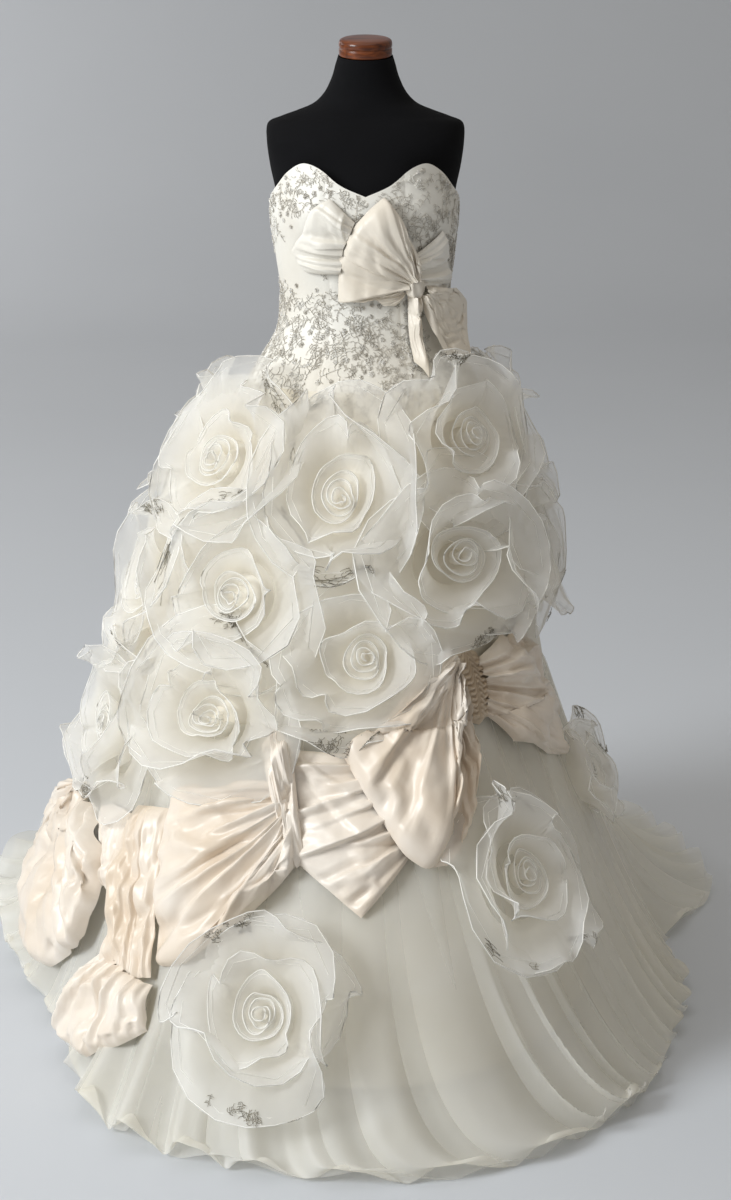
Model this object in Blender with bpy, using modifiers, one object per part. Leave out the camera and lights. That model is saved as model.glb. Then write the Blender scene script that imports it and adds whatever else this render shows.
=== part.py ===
"""Strapless wedding dress with organza roses, a satin bow and a train, on a limbless dress form.

Metres, +Z up. The origin is the centre of the stand's underside. The front faces -Y.
A place on the dress is an azimuth (degrees from the front, positive towards +X) and a height.
"""

import math
from collections import namedtuple

import bmesh
import bpy
import numpy as np
from mathutils import Matrix

# Named sizes
BODICE_WALL = 0.0025
SKIRT_WALL = 0.0022
ORGANZA_WALL = 0.0020
TAFFETA_WALL = 0.0020
ROSE_WALL = 0.0015
SEAM_GAP = 0.0003
WAIST_GAP = 0.0008
WAIST_SEAM = 1.115
OVERSKIRT_TOP = 0.60
UNDERSKIRT_HEM = 0.035
BASE_RADIUS = 0.19
BASE_THICKNESS = 0.012
POLE_RADIUS = 0.016
TORSO_BOTTOM = 0.98
CAP_TILT = math.radians(10)

# The dress around its centre line: half-widths left and right, half-depths front and back
Ring = namedtuple("Ring", "height left right front back")
GOWN = [
    Ring(0.000, 0.530, 0.450, 0.560, 0.600),
    Ring(0.180, 0.510, 0.415, 0.520, 0.570),
    Ring(0.360, 0.490, 0.375, 0.470, 0.520),
    Ring(0.540, 0.445, 0.335, 0.415, 0.455),
    Ring(0.700, 0.388, 0.302, 0.365, 0.385),
    Ring(0.840, 0.342, 0.276, 0.320, 0.318),
    Ring(0.960, 0.292, 0.244, 0.266, 0.256),
    Ring(1.060, 0.234, 0.212, 0.202, 0.192),
    Ring(1.105, 0.207, 0.195, 0.170, 0.165),
    Ring(1.150, 0.181, 0.172, 0.140, 0.142),
    Ring(1.195, 0.154, 0.151, 0.118, 0.120),
    Ring(1.255, 0.146, 0.144, 0.110, 0.104),
    Ring(1.330, 0.154, 0.151, 0.124, 0.104),
    Ring(1.390, 0.161, 0.157, 0.134, 0.107),
    Ring(1.440, 0.161, 0.158, 0.128, 0.106),
    Ring(1.500, 0.160, 0.158, 0.122, 0.104),
]

# The organza overskirt: radius where each gore would meet the floor, and radius of its hem
Gore = namedtuple("Gore", "azimuth knee hem")
GORES = [
    Gore(-180, 0.66, 1.15),
    Gore(-150, 0.66, 1.04),
    Gore(-122, 0.64, 0.90),
    Gore(-98, 0.60, 0.71),
    Gore(-75, 0.57, 0.60),
    Gore(-60, 0.57, 0.60),
    Gore(-45, 0.62, 0.665),
    Gore(-33, 0.68, 0.74),
    Gore(-15, 0.70, 0.755),
    Gore(4, 0.71, 0.765),
    Gore(18, 0.70, 0.75),
    Gore(32, 0.66, 0.71),
    Gore(45, 0.62, 0.67),
    Gore(60, 0.575, 0.61),
    Gore(80, 0.54, 0.57),
    Gore(98, 0.54, 0.575),
    Gore(114, 0.57, 0.775),
    Gore(130, 0.61, 0.87),
    Gore(150, 0.64, 0.99),
    Gore(180, 0.66, 1.15),
]

# Top edge of the bodice, the same on both sides
Neckline = namedtuple("Neckline", "azimuth height")
NECKLINE = [
    Neckline(0, 1.432),
    Neckline(15, 1.446),
    Neckline(30, 1.472),
    Neckline(45, 1.483),
    Neckline(60, 1.470),
    Neckline(75, 1.440),
    Neckline(92, 1.419),
    Neckline(120, 1.396),
    Neckline(150, 1.388),
    Neckline(180, 1.385),
]

# Bodice panels between their seams
Panel = namedtuple("Panel", "name start end columns")
BODICE = [
    Panel("bodice_centre_front", -24, 24, 8),
    Panel("bodice_side_front_right", 24, 75, 8),
    Panel("bodice_side_right", 75, 125, 5),
    Panel("bodice_back_right", 125, 180, 5),
    Panel("bodice_back_left", -180, -125, 5),
    Panel("bodice_side_left", -125, -75, 5),
    Panel("bodice_side_front_left", -75, -24, 8),
]

# Overskirt panels
OVERSKIRT = [
    Panel("overskirt_front", -62, 62, 32),
    Panel("overskirt_right", 62, 112, 12),
    Panel("overskirt_train", 112, 248, 30),
    Panel("overskirt_left", -112, -62, 12),
]

# Sections of the dress form: half-width, half-depths, forward shift and how square it is
Section = namedtuple("Section", "height width front back shift square")
TORSO = [
    Section(0.980, 0.150, 0.115, 0.120, 0.0, 1.0),
    Section(1.060, 0.168, 0.130, 0.135, 0.0, 1.0),
    Section(1.130, 0.160, 0.123, 0.128, 0.0, 1.0),
    Section(1.190, 0.144, 0.108, 0.110, 0.0, 1.0),
    Section(1.250, 0.138, 0.100, 0.097, 0.0, 1.0),
    Section(1.330, 0.144, 0.112, 0.096, 0.0, 1.0),
    Section(1.390, 0.151, 0.122, 0.098, 0.0, 1.0),
    Section(1.430, 0.152, 0.116, 0.096, 0.0, 1.0),
    Section(1.475, 0.161, 0.098, 0.092, 0.0, 1.0),
    Section(1.515, 0.166, 0.084, 0.084, 0.0, 0.80),
    Section(1.545, 0.164, 0.070, 0.074, 0.0, 0.80),
    Section(1.556, 0.142, 0.064, 0.069, 0.0, 0.85),
    Section(1.566, 0.114, 0.060, 0.064, 0.001, 0.9),
    Section(1.578, 0.086, 0.056, 0.060, 0.002, 1.0),
    Section(1.596, 0.068, 0.051, 0.055, 0.004, 1.0),
    Section(1.620, 0.056, 0.048, 0.050, 0.008, 1.0),
    Section(1.640, 0.050, 0.046, 0.047, 0.012, 1.0),
    Section(1.654, 0.0455, 0.0445, 0.0445, 0.015, 1.0),
]

# Wooden neck cap, turned round its own axis
Turn = namedtuple("Turn", "radius height")
CAP = [
    Turn(0.0000, 0.0000),
    Turn(0.0420, 0.0000),
    Turn(0.0442, 0.0020),
    Turn(0.0442, 0.0110),
    Turn(0.0430, 0.0125),
    Turn(0.0430, 0.0140),
    Turn(0.0444, 0.0155),
    Turn(0.0440, 0.0220),
    Turn(0.0415, 0.0258),
    Turn(0.0360, 0.0275),
    Turn(0.0000, 0.0282),
]

# Organza roses: place, outer radius, how far they reach up and down, turn of the coil, petals a turn
Rose = namedtuple("Rose", "name azimuth height radius above below turn petals")
ROSES = [
    Rose("rose_front_left_top", -53.5, 0.993, 0.145, 0.125, 0.15, 200, 4),
    Rose("rose_front_centre_top", -8.0, 0.965, 0.140, 0.15, 0.15, 60, 3),
    Rose("rose_front_right_top", 41.5, 1.030, 0.140, 0.110, 0.15, 300, 4),
    Rose("rose_front_left_upper", -33.5, 0.804, 0.140, 0.15, 0.15, 150, 4),
    Rose("rose_front_right_upper", 28.5, 0.850, 0.150, 0.15, 0.15, 20, 4),
    Rose("rose_right_upper", 67.0, 0.835, 0.140, 0.15, 0.15, 90, 3),
    Rose("rose_front_centre_lower", -1.0, 0.708, 0.138, 0.15, 0.100, 250, 4),
    Rose("rose_front_left_lower", -34.5, 0.606, 0.145, 0.15, 0.080, 110, 4),
    Rose("rose_left_lower", -68.5, 0.535, 0.145, 0.15, 0.130, 10, 3),
    Rose("rose_left_upper", -72.0, 0.770, 0.140, 0.15, 0.15, 320, 4),
    Rose("rose_skirt_left", -14.5, 0.200, 0.140, 0.105, 0.14, 80, 4),
    Rose("rose_skirt_right", 30.5, 0.360, 0.135, 0.125, 0.14, 180, 4),
    Rose("rose_right_lower", 71.0, 0.430, 0.095, 0.10, 0.10, 40, 3),
    Rose("rose_right_side", 103.0, 0.990, 0.140, 0.120, 0.15, 130, 4),
    Rose("rose_left_side", -104.0, 0.975, 0.140, 0.135, 0.15, 260, 4),
    Rose("rose_back_right", 128.0, 0.750, 0.145, 0.15, 0.15, 310, 3),
    Rose("rose_back_left", -122.0, 0.690, 0.145, 0.15, 0.15, 70, 4),
    Rose("rose_back_centre", 172.0, 0.925, 0.145, 0.15, 0.15, 0, 4),
]
ROSE_TURNS = 3.0
ROSE_STATIONS = 30
ROSE_APART = 0.003

# Gathered loops and swags: they run from an inner edge to an outer edge listed clockwise.
# lift is the height of the edges off the cloth below, puff that of the middle, ply that of the folds.
Loop = namedtuple("Loop", "name inner outer lift end puff folds ply columns rows")
BOW = [
    Loop(
        "bow_leaf_loop",
        [(26, 1.296), (30, 1.304), (34, 1.302)],
        [(-5, 1.392), (3, 1.420), (12, 1.434), (22, 1.428), (30, 1.392), (35, 1.338)],
        0.0040, 0.0035, 0.016, 3, 0.003, 9, 4,
    ),
    Loop(
        "bow_corner_loop",
        [(25, 1.280), (24, 1.287), (24.5, 1.294)],
        [(6, 1.268), (-5, 1.263), (-16, 1.264), (-14, 1.330), (-8, 1.386)],
        0.0040, 0.0030, 0.013, 3, 0.002, 9, 4,
    ),
    Loop(
        "bow_left_fan",
        [(-18.5, 1.306), (-16.0, 1.345), (-10, 1.396)],
        [(-42, 1.318), (-45, 1.350), (-38, 1.388), (-22, 1.424)],
        0.0032, 0.0030, 0.006, 4, 0.002, 9, 3,
    ),
    Loop(
        "bow_right_fan",
        [(39, 1.320), (40.5, 1.303), (40.5, 1.291)],
        [(62, 1.380), (68, 1.340), (71, 1.305), (73, 1.276)],
        0.0032, 0.0030, 0.004, 4, 0.002, 9, 3,
    ),
    Loop(
        "bow_right_loop",
        [(39, 1.286), (38, 1.278), (36, 1.273)],
        [(62, 1.268), (70, 1.236), (69, 1.205), (60, 1.163), (46, 1.172)],
        0.0026, 0.038, 0.012, 2, 0.004, 8, 4,
    ),
    Loop(
        "bow_tail",
        [(34, 1.272), (31, 1.270), (28, 1.272)],
        [(35, 1.150), (32, 1.132), (28, 1.150)],
        0.0026, 0.008, 0.004, 2, 0.003, 4, 4,
    ),
    Loop(
        "bow_small_loop",
        [(26, 1.272), (24, 1.274), (23.5, 1.277)],
        [(20, 1.250), (12, 1.250), (8, 1.258), (8, 1.264)],
        0.003, 0.003, 0.006, 1, 0.001, 5, 3,
    ),
]
KNOT = (32.0, 1.2875)
KNOT_HALF = (0.0140, 0.0130, 0.011)

SWAGS = [
    Loop(
        "swag_left_loop",
        [(-15.5, 0.505), (-17.0, 0.512), (-17.0, 0.522)],
        [
            (-13.5, 0.412), (-19, 0.345), (-26, 0.285), (-33, 0.265),
            (-39, 0.36), (-41, 0.430), (-39, 0.482), (-25, 0.530),
        ],
        0.0026, 0.0022, 0.034, 6, 0.006, 15, 5,
    ),
    Loop(
        "swag_centre_loop",
        [(-14.5, 0.527), (-12.0, 0.518), (-12.5, 0.508)],
        [
            (-16.5, 0.590), (-7, 0.575), (-4.5, 0.508), (5, 0.408),
            (-0.5, 0.343), (-6, 0.372), (-10.8, 0.412),
        ],
        0.0026, 0.0022, 0.024, 5, 0.005, 14, 5,
    ),
    Loop(
        "swag_right_loop",
        [(24, 0.690), (22, 0.684), (20, 0.684)],
        [
            (29, 0.600), (26, 0.508), (13.5, 0.403), (9, 0.412),
            (2.5, 0.490), (-3.5, 0.570), (6, 0.574), (17, 0.638),
        ],
        0.0026, 0.0022, 0.030, 5, 0.006, 15, 5,
    ),
    Loop(
        "bow_skirt_gather",
        [(34, 0.704), (30, 0.712), (26.5, 0.706)],
        [(36.5, 0.604), (34, 0.600), (31.5, 0.604)],
        0.0022, 0.0022, 0.014, 3, 0.003, 8, 5,
    ),
    Loop(
        "bow_skirt_loop",
        [(38, 0.692), (38.5, 0.650), (39, 0.612)],
        [(45, 0.724), (54, 0.668), (59, 0.600), (52, 0.530), (41, 0.556)],
        0.0022, 0.018, 0.030, 4, 0.005, 9, 4,
    ),
    Loop(
        "side_swag",
        [(-74, 0.352), (-78, 0.372), (-84, 0.368)],
        [
            (-63, 0.270), (-64, 0.150), (-75, 0.062), (-88, 0.055),
            (-99, 0.120), (-104, 0.240), (-97, 0.325),
        ],
        0.0026, 0.0022, 0.050, 5, 0.008, 14, 5,
    ),
    Loop(
        "side_panel",
        [(-61, 0.285), (-60, 0.262), (-58, 0.245)],
        [(-71, 0.372), (-66, 0.390), (-57, 0.405), (-51.5, 0.400)],
        0.0022, 0.0022, 0.010, 2, 0.003, 6, 3,
    ),
    Loop(
        "front_panel",
        [(-45, 0.190), (-40.5, 0.205), (-36.5, 0.232)],
        [(-51, 0.420), (-48, 0.432), (-44.5, 0.440)],
        0.0022, 0.0022, 0.010, 3, 0.004, 8, 5,
    ),
    Loop(
        "lower_ruche",
        [(-36, 0.212), (-42, 0.195), (-47.5, 0.178)],
        [(-33, 0.160), (-41, 0.066), (-48, 0.030), (-54, 0.032)],
        0.0022, 0.0022, 0.022, 4, 0.006, 9, 4,
    ),
]

# Colours (linear), roughness and metallic
Look = namedtuple("Look", "colour roughness metallic")
LOOKS = {
    "black_cloth": Look((0.010, 0.010, 0.012), 0.85, 0.0),
    "turned_wood": Look((0.30, 0.095, 0.025), 0.25, 0.0),
    "stand_metal": Look((0.16, 0.16, 0.165), 0.40, 0.9),
    "bodice_satin": Look((0.72, 0.68, 0.61), 0.55, 0.0),
    "underskirt_satin": Look((0.78, 0.73, 0.65), 0.50, 0.0),
    "organza": Look((0.82, 0.79, 0.72), 0.45, 0.0),
    "bow_satin": Look((0.80, 0.74, 0.66), 0.38, 0.0),
    "taffeta": Look((0.76, 0.66, 0.56), 0.36, 0.0),
    "rose_organza": Look((0.84, 0.80, 0.72), 0.42, 0.0),
}


def clear_scene():
    for obj in list(bpy.data.objects):
        bpy.data.objects.remove(obj, do_unlink=True)


def material(kind, name):
    look = LOOKS[kind]
    made = bpy.data.materials.new(name)
    made.use_nodes = True
    shader = made.node_tree.nodes["Principled BSDF"]
    shader.inputs["Base Color"].default_value = (*look.colour, 1.0)
    shader.inputs["Roughness"].default_value = look.roughness
    shader.inputs["Metallic"].default_value = look.metallic
    return made


def smooth(places, values, at):
    """A smooth curve through a table's values."""
    places = np.asarray(places, float)
    values = np.asarray(values, float)
    slope = np.gradient(values, places)
    at = np.clip(at, places[0], places[-1])
    i = np.clip(np.searchsorted(places, at) - 1, 0, len(places) - 2)
    step = places[i + 1] - places[i]
    t = (at - places[i]) / step
    start = (2 * t**3 - 3 * t**2 + 1) * values[i]
    end = (-2 * t**3 + 3 * t**2) * values[i + 1]
    lead = (t**3 - 2 * t**2 + t) * step * slope[i]
    trail = (t**3 - t**2) * step * slope[i + 1]
    return start + end + lead + trail


def column(table, name):
    return [getattr(row, name) for row in table]


def step_up(at, low, high):
    """0 below low, 1 above high, and an easy curve between."""
    t = np.clip((at - low) / (high - low), 0.0, 1.0)
    return t * t * (3.0 - 2.0 * t)


def wrapped(degrees):
    return (degrees + 180.0) % 360.0 - 180.0


def gown_skin(azimuth, height):
    """The outer face of bodice and underskirt, before folds."""
    a = np.radians(azimuth)
    left, right, front, back = (
        smooth(column(GOWN, "height"), column(GOWN, side), height)
        for side in ("left", "right", "front", "back")
    )
    across = np.where(np.sin(a) > 0, right, left)
    deep = np.where(np.cos(a) > 0, front, back)
    return np.stack([across * np.sin(a), -deep * np.cos(a), height + 0.0 * a], -1)


def overskirt_skin(azimuth, fall):
    """The overskirt before folds: fall is 0 at its top seam and 1 at its hem on the floor."""
    a = np.radians(azimuth)
    top = gown_skin(azimuth, OVERSKIRT_TOP + 0.0 * azimuth)
    away = np.stack([np.sin(a), -np.cos(a), 0.0 * a], -1)
    around = wrapped(azimuth)
    knee = away * smooth(column(GORES, "azimuth"), column(GORES, "knee"), around)[..., None]
    hem = away * smooth(column(GORES, "azimuth"), column(GORES, "hem"), around)[..., None]
    fall = fall[..., None]
    return (1 - fall) ** 2 * top + 2 * fall * (1 - fall) * knee + fall**2 * hem


def skirt_skin(azimuth, height):
    """What the roses and swags lie on: the gown down to the overskirt's seam, then the overskirt."""
    fall = 1.0 - np.sqrt(np.clip(height, 0.0, OVERSKIRT_TOP) / OVERSKIRT_TOP)
    low = overskirt_skin(azimuth, fall)
    return np.where((height < OVERSKIRT_TOP)[..., None], low, gown_skin(azimuth, height))


def moved_out(skin, azimuth, height, out, step=(0.1, 0.001)):
    """Points of a skin moved along its outward direction."""
    along = skin(azimuth + step[0], height) - skin(azimuth - step[0], height)
    up = skin(azimuth, height + step[1]) - skin(azimuth, height - step[1])
    outward = np.cross(along, up)
    outward /= np.linalg.norm(outward, axis=-1, keepdims=True)
    return skin(azimuth, height) + outward * out[..., None]


def fold_depth(fall):
    """How far the overskirt's folds stand out."""
    return 0.001 + 0.026 * step_up(fall, 0.0, 0.9)


def clear_of_overskirt(height):
    """How far out a piece has to lie so that the overskirt's folds stay below it."""
    fall = 1.0 - np.sqrt(np.clip(height, 0.0, OVERSKIRT_TOP) / OVERSKIRT_TOP)
    return np.where(height < OVERSKIRT_TOP + 0.01, 0.0030 + fold_depth(fall), 0.0001)


def folds(azimuth):
    """Soft folds of the overskirt, 0 in a valley and 1 on a ridge."""
    wave = np.cos(np.radians(azimuth * 18)) + 0.5 * np.cos(np.radians(azimuth * 7 + 40))
    return 0.5 + wave / 3.0


def add_mesh(name, mesh, kind, collection):
    bmesh.ops.recalc_face_normals(mesh, faces=mesh.faces)
    return add_open_mesh(name, mesh, kind, collection)


def add_open_mesh(name, mesh, kind, collection):
    data = bpy.data.meshes.new(name)
    mesh.to_mesh(data)
    mesh.free()
    obj = bpy.data.objects.new(name, data)
    obj.data.materials.append(material(kind, name + "_" + kind))
    collection.objects.link(obj)
    return obj


def outward_of(formula, across, up, joined, step=0.002):
    """The direction that a sheet's outer face looks in."""
    over = 1.0 if joined else 0.0
    right = formula(np.minimum(across + step, 1.0 + over), up)
    left = formula(np.maximum(across - step, 0.0 - over), up)
    above = formula(across, np.minimum(up + step, 1.0))
    below = formula(across, np.maximum(up - step, 0.0))
    outward = np.cross(right - left, above - below)
    return outward / np.linalg.norm(outward, axis=-1, keepdims=True)


def add_sheet(name, formula, columns, rows, wall, kind, collection, joined=False):
    """A sheet of cloth: formula(across, up) gives its outer face, and the wall goes inwards."""
    mesh = bmesh.new()
    bmesh.ops.create_grid(mesh, x_segments=columns, y_segments=rows, size=1.0)
    bmesh.ops.triangulate(mesh, faces=mesh.faces)
    inner = bmesh.ops.extrude_face_region(mesh, geom=mesh.faces[:])
    for vertex in [part for part in inner["geom"] if isinstance(part, bmesh.types.BMVert)]:
        vertex.co.z = 1.0
    bmesh.ops.recalc_face_normals(mesh, faces=mesh.faces)
    bmesh.ops.reverse_faces(mesh, faces=mesh.faces)
    seam = [face for face in mesh.faces if all(abs(v.co.x) > 0.9999 for v in face.verts)]
    across = np.array([0.5 + 0.5 * v.co.x for v in mesh.verts])
    up = np.array([0.5 + 0.5 * v.co.y for v in mesh.verts])
    deep = np.array([[v.co.z] for v in mesh.verts])
    places = formula(across, up) - wall * deep * outward_of(formula, across, up, joined)
    for vertex, place in zip(mesh.verts, places):
        vertex.co = place
    if joined:
        bmesh.ops.delete(mesh, geom=seam, context="FACES_ONLY")
        bmesh.ops.remove_doubles(mesh, verts=mesh.verts, dist=0.00001)
    return add_open_mesh(name, mesh, kind, collection)


def between(start, end, across):
    """Azimuths of a panel, short of each seam by half the gap."""
    inset = math.degrees(0.5 * SEAM_GAP / 0.13)
    return start + inset + (end - start - 2 * inset) * across


# Dress form

def build_form(collection):
    mesh = bmesh.new()
    bmesh.ops.create_grid(mesh, x_segments=22, y_segments=len(TORSO) + 1, size=1.0)
    for vertex in mesh.verts:
        a = math.pi * (1.0 + vertex.co.x)
        row = round((0.5 + 0.5 * vertex.co.y) * (len(TORSO) + 1))
        section = TORSO[min(max(row - 1, 0), len(TORSO) - 1)]
        inside = 0.0 if row in (0, len(TORSO) + 1) else 1.0
        sine = math.copysign(abs(math.sin(a)) ** section.square, math.sin(a))
        cosine = math.copysign(abs(math.cos(a)) ** section.square, math.cos(a))
        deep = section.front if cosine > 0 else section.back
        tilt = -math.tan(CAP_TILT) * step_up(section.height, 1.60, 1.654) * deep * cosine
        vertex.co = (
            inside * section.width * sine,
            -inside * deep * cosine - section.shift,
            section.height + inside * tilt,
        )
    bmesh.ops.remove_doubles(mesh, verts=mesh.verts, dist=0.00001)
    bmesh.ops.dissolve_degenerate(mesh, edges=mesh.edges, dist=0.00001)
    add_mesh("form_torso", mesh, "black_cloth", collection)

    mesh = bmesh.new()
    bmesh.ops.create_grid(mesh, x_segments=28, y_segments=len(CAP) - 1, size=1.0)
    for vertex in mesh.verts:
        a = math.pi * (1.0 + vertex.co.x)
        turn = CAP[round((0.5 + 0.5 * vertex.co.y) * (len(CAP) - 1))]
        vertex.co = (turn.radius * math.sin(a), -turn.radius * math.cos(a), turn.height)
    bmesh.ops.remove_doubles(mesh, verts=mesh.verts, dist=0.00001)
    bmesh.ops.dissolve_degenerate(mesh, edges=mesh.edges, dist=0.00001)
    seat = Matrix.Translation((0.0, -TORSO[-1].shift, TORSO[-1].height + SEAM_GAP))
    bmesh.ops.transform(mesh, matrix=seat @ Matrix.Rotation(CAP_TILT, 4, "X"), verts=mesh.verts)
    add_mesh("form_neck_cap", mesh, "turned_wood", collection)

    add_rod("form_pole", POLE_RADIUS, BASE_THICKNESS + SEAM_GAP, TORSO_BOTTOM - SEAM_GAP, collection)
    base = add_rod("form_base", BASE_RADIUS, 0.0, BASE_THICKNESS, collection)
    rounded = base.modifiers.new("rounded rim", "BEVEL")
    rounded.width = 0.003
    rounded.segments = 2
    rounded.limit_method = "ANGLE"


def add_rod(name, radius, low, high, collection):
    mesh = bmesh.new()
    middle = Matrix.Translation((0.0, 0.0, 0.5 * (low + high)))
    bmesh.ops.create_cone(
        mesh, cap_ends=True, segments=32, radius1=radius, radius2=radius, depth=high - low, matrix=middle
    )
    return add_open_mesh(name, mesh, "stand_metal", collection)


# Bodice

def neckline(azimuth):
    return smooth(column(NECKLINE, "azimuth"), column(NECKLINE, "height"), np.abs(azimuth))


def bodice_out(azimuth, height):
    """The cups."""
    side = (np.abs(azimuth) - 38.0) / 22.0
    return 0.010 * np.exp(-(side**2) - ((height - 1.405) / 0.040) ** 2)


def build_bodice(collection):
    for panel in BODICE:
        def outer_face(across, up, panel=panel):
            azimuth = between(panel.start, panel.end, across)
            height = WAIST_SEAM + (neckline(azimuth) - WAIST_SEAM) * up
            return moved_out(gown_skin, azimuth, height, bodice_out(azimuth, height))

        add_sheet(panel.name, outer_face, panel.columns, 7, BODICE_WALL, "bodice_satin", collection)


def body_skin(azimuth, height):
    return moved_out(gown_skin, azimuth, height, bodice_out(azimuth, height))


# Skirts

def build_skirts(collection):
    def underskirt(across, up):
        azimuth = -180.0 + 360.0 * across
        top = WAIST_SEAM - WAIST_GAP
        height = UNDERSKIRT_HEM + (top - UNDERSKIRT_HEM) * up
        inset = 0.030 * step_up(-height, -0.62, -0.48)
        return moved_out(gown_skin, azimuth, height, -inset)

    add_sheet("underskirt", underskirt, 36, 8, SKIRT_WALL, "underskirt_satin", collection, joined=True)
    for panel in OVERSKIRT:
        def outer_face(across, up, panel=panel):
            azimuth = between(panel.start, panel.end, across)
            fall = 0.001 + 0.998 * (1.0 - up)
            out = 0.003 + fold_depth(fall) * folds(azimuth)
            return moved_out(overskirt_skin, azimuth, fall, out, step=(0.1, -0.001))

        add_sheet(panel.name, outer_face, panel.columns, 7, ORGANZA_WALL, "organza", collection)


# Roses

def place_on(skin, rose, x, y, out):
    """A place x to the side of a rose's middle, y above it and out from the cloth."""
    azimuth = np.full_like(x, rose.azimuth)
    height = np.full_like(x, rose.height)
    wide = np.linalg.norm(skin(azimuth + 0.5, height) - skin(azimuth - 0.5, height), axis=-1)
    tall = np.linalg.norm(skin(azimuth, height + 0.005) - skin(azimuth, height - 0.005), axis=-1) / 0.01
    a = rose.azimuth + x / wide
    h = rose.height + y / tall
    return moved_out(skin, a, h, out + clear_of_overskirt(h))


def reach(rose, angle):
    """The share of its radius that a rose may take in each direction before it meets a neighbour."""
    here = skirt_skin(np.array([rose.azimuth]), np.array([rose.height]))[0]
    side = skirt_skin(np.array([rose.azimuth + 0.5]), np.array([rose.height]))[0] - here
    side /= np.linalg.norm(side)
    above = skirt_skin(np.array([rose.azimuth]), np.array([rose.height + 0.005]))[0] - here
    above /= np.linalg.norm(above)
    share = np.ones_like(angle)
    for other in ROSES:
        if other is rose:
            continue
        there = skirt_skin(np.array([other.azimuth]), np.array([other.height]))[0] - here
        apart = np.linalg.norm(there)
        if apart > 0.45:
            continue
        towards = math.atan2(there @ above, there @ side)
        half = apart * rose.radius / (rose.radius + other.radius) - ROSE_APART
        facing = np.cos(angle - towards)
        limit = np.where(facing > 0.1, half / np.maximum(facing, 0.1), 9.0)
        share = np.minimum(share, limit / (rose.radius * 1.07))
    room = np.where(np.sin(angle) > 0, rose.above, rose.below) / np.maximum(np.abs(np.sin(angle)), 0.05)
    share = np.minimum(share, room / rose.radius)
    return np.clip(share, 0.3, 1.0)


def build_roses(collection):
    for rose in ROSES:
        def coiled(across, up, rose=rose):
            angle = -2.0 * math.pi * ROSE_TURNS * across + math.radians(rose.turn)
            grown = 1.35 * across - 0.35 * across**2
            wave = np.cos(rose.petals * angle)
            foot = 0.008 + 0.56 * rose.radius * grown
            rim = 0.014 + (rose.radius - 0.014) * grown + 0.012 * wave * across
            rise = 0.070 - 0.026 * across + 0.006 * wave * across
            bulge = 4.0 * up * (1.0 - up)
            r = foot + (rim - foot) * up**1.5 - 0.002 * bulge
            r = r * (1.0 - across * (1.0 - reach(rose, angle)))
            out = 0.0012 + rise * (up + 0.25 * bulge)
            x = r * np.cos(angle)
            y = r * np.sin(angle)
            return place_on(skirt_skin, rose, x, y, out)

        add_sheet(rose.name, coiled, ROSE_STATIONS, 2, ROSE_WALL, "rose_organza", collection)


# Bow, sash and taffeta swags

def along(points, s):
    """Azimuth and height at share s of a line through points."""
    points = np.array(points, float)
    steps = np.diff(points, axis=0) * np.array([0.004, 1.0])
    length = np.concatenate([[0.0], np.cumsum(np.linalg.norm(steps, axis=1))])
    length /= length[-1]
    return smooth(length, points[:, 0], s), smooth(length, points[:, 1], s)


def build_loops(loops, skin, wall, kind, collection, clear):
    for loop in loops:
        def gathered(across, up, loop=loop):
            inner_azimuth, inner_height = along(loop.inner, across)
            outer_azimuth, outer_height = along(loop.outer, across)
            azimuth = inner_azimuth + (outer_azimuth - inner_azimuth) * up
            height = inner_height + (outer_height - inner_height) * up
            arch = np.sin(math.pi * up**0.9) ** 0.8
            side = np.sin(math.pi * across) ** 0.5
            ridge = 0.5 - 0.5 * np.cos(2.0 * math.pi * loop.folds * across)
            out = loop.lift + (loop.end - loop.lift) * up
            out = out + loop.puff * arch * (0.25 + 0.75 * side) + loop.ply * ridge * (0.3 + 0.7 * up)
            return moved_out(skin, azimuth, height, out + clear(height))

        add_sheet(loop.name, gathered, loop.columns, loop.rows, wall, kind, collection)


def build_knot(collection):
    mesh = bmesh.new()
    bmesh.ops.create_uvsphere(mesh, u_segments=12, v_segments=8, radius=1.0)
    azimuth = np.array([KNOT[0]])
    height = np.array([KNOT[1]])
    lift = 0.0010 + KNOT_HALF[2]
    middle = moved_out(body_skin, azimuth, height, np.array([lift]))[0]
    scale = Matrix.Diagonal((KNOT_HALF[0], KNOT_HALF[2], KNOT_HALF[1], 1.0))
    turn = Matrix.Rotation(math.radians(KNOT[0]), 4, "Z")
    bmesh.ops.transform(mesh, matrix=Matrix.Translation(middle) @ turn @ scale, verts=mesh.verts)
    add_mesh("bow_knot", mesh, "bow_satin", collection)


def main():
    clear_scene()
    collection = bpy.data.collections.new("wedding dress on a dress form")
    bpy.context.scene.collection.children.link(collection)
    build_form(collection)
    build_bodice(collection)
    build_skirts(collection)
    build_roses(collection)
    build_loops(BOW, body_skin, TAFFETA_WALL, "bow_satin", collection, lambda height: 0.0)
    build_knot(collection)
    build_loops(SWAGS, skirt_skin, TAFFETA_WALL, "taffeta", collection, clear_of_overskirt)


main()
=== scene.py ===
# %% [markdown]
# # A strapless wedding dress on a dress form
# The real thing is an ivory ball gown on a black cloth-covered form: a beaded, boned bodice with
# a satin bow, a skirt of big coiled organza roses, gathered taffeta swags under them, and a
# sheer organza overskirt that runs into a train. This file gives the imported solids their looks.
# It could be one sculpted mesh, but every piece here is a sheet worked out from a few sizes,
# because that is how the dress is cut, and because each piece can then be changed alone.

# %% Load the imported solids
import math
from collections import namedtuple

import bpy
import numpy as np
from mathutils import Matrix, Vector


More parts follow.
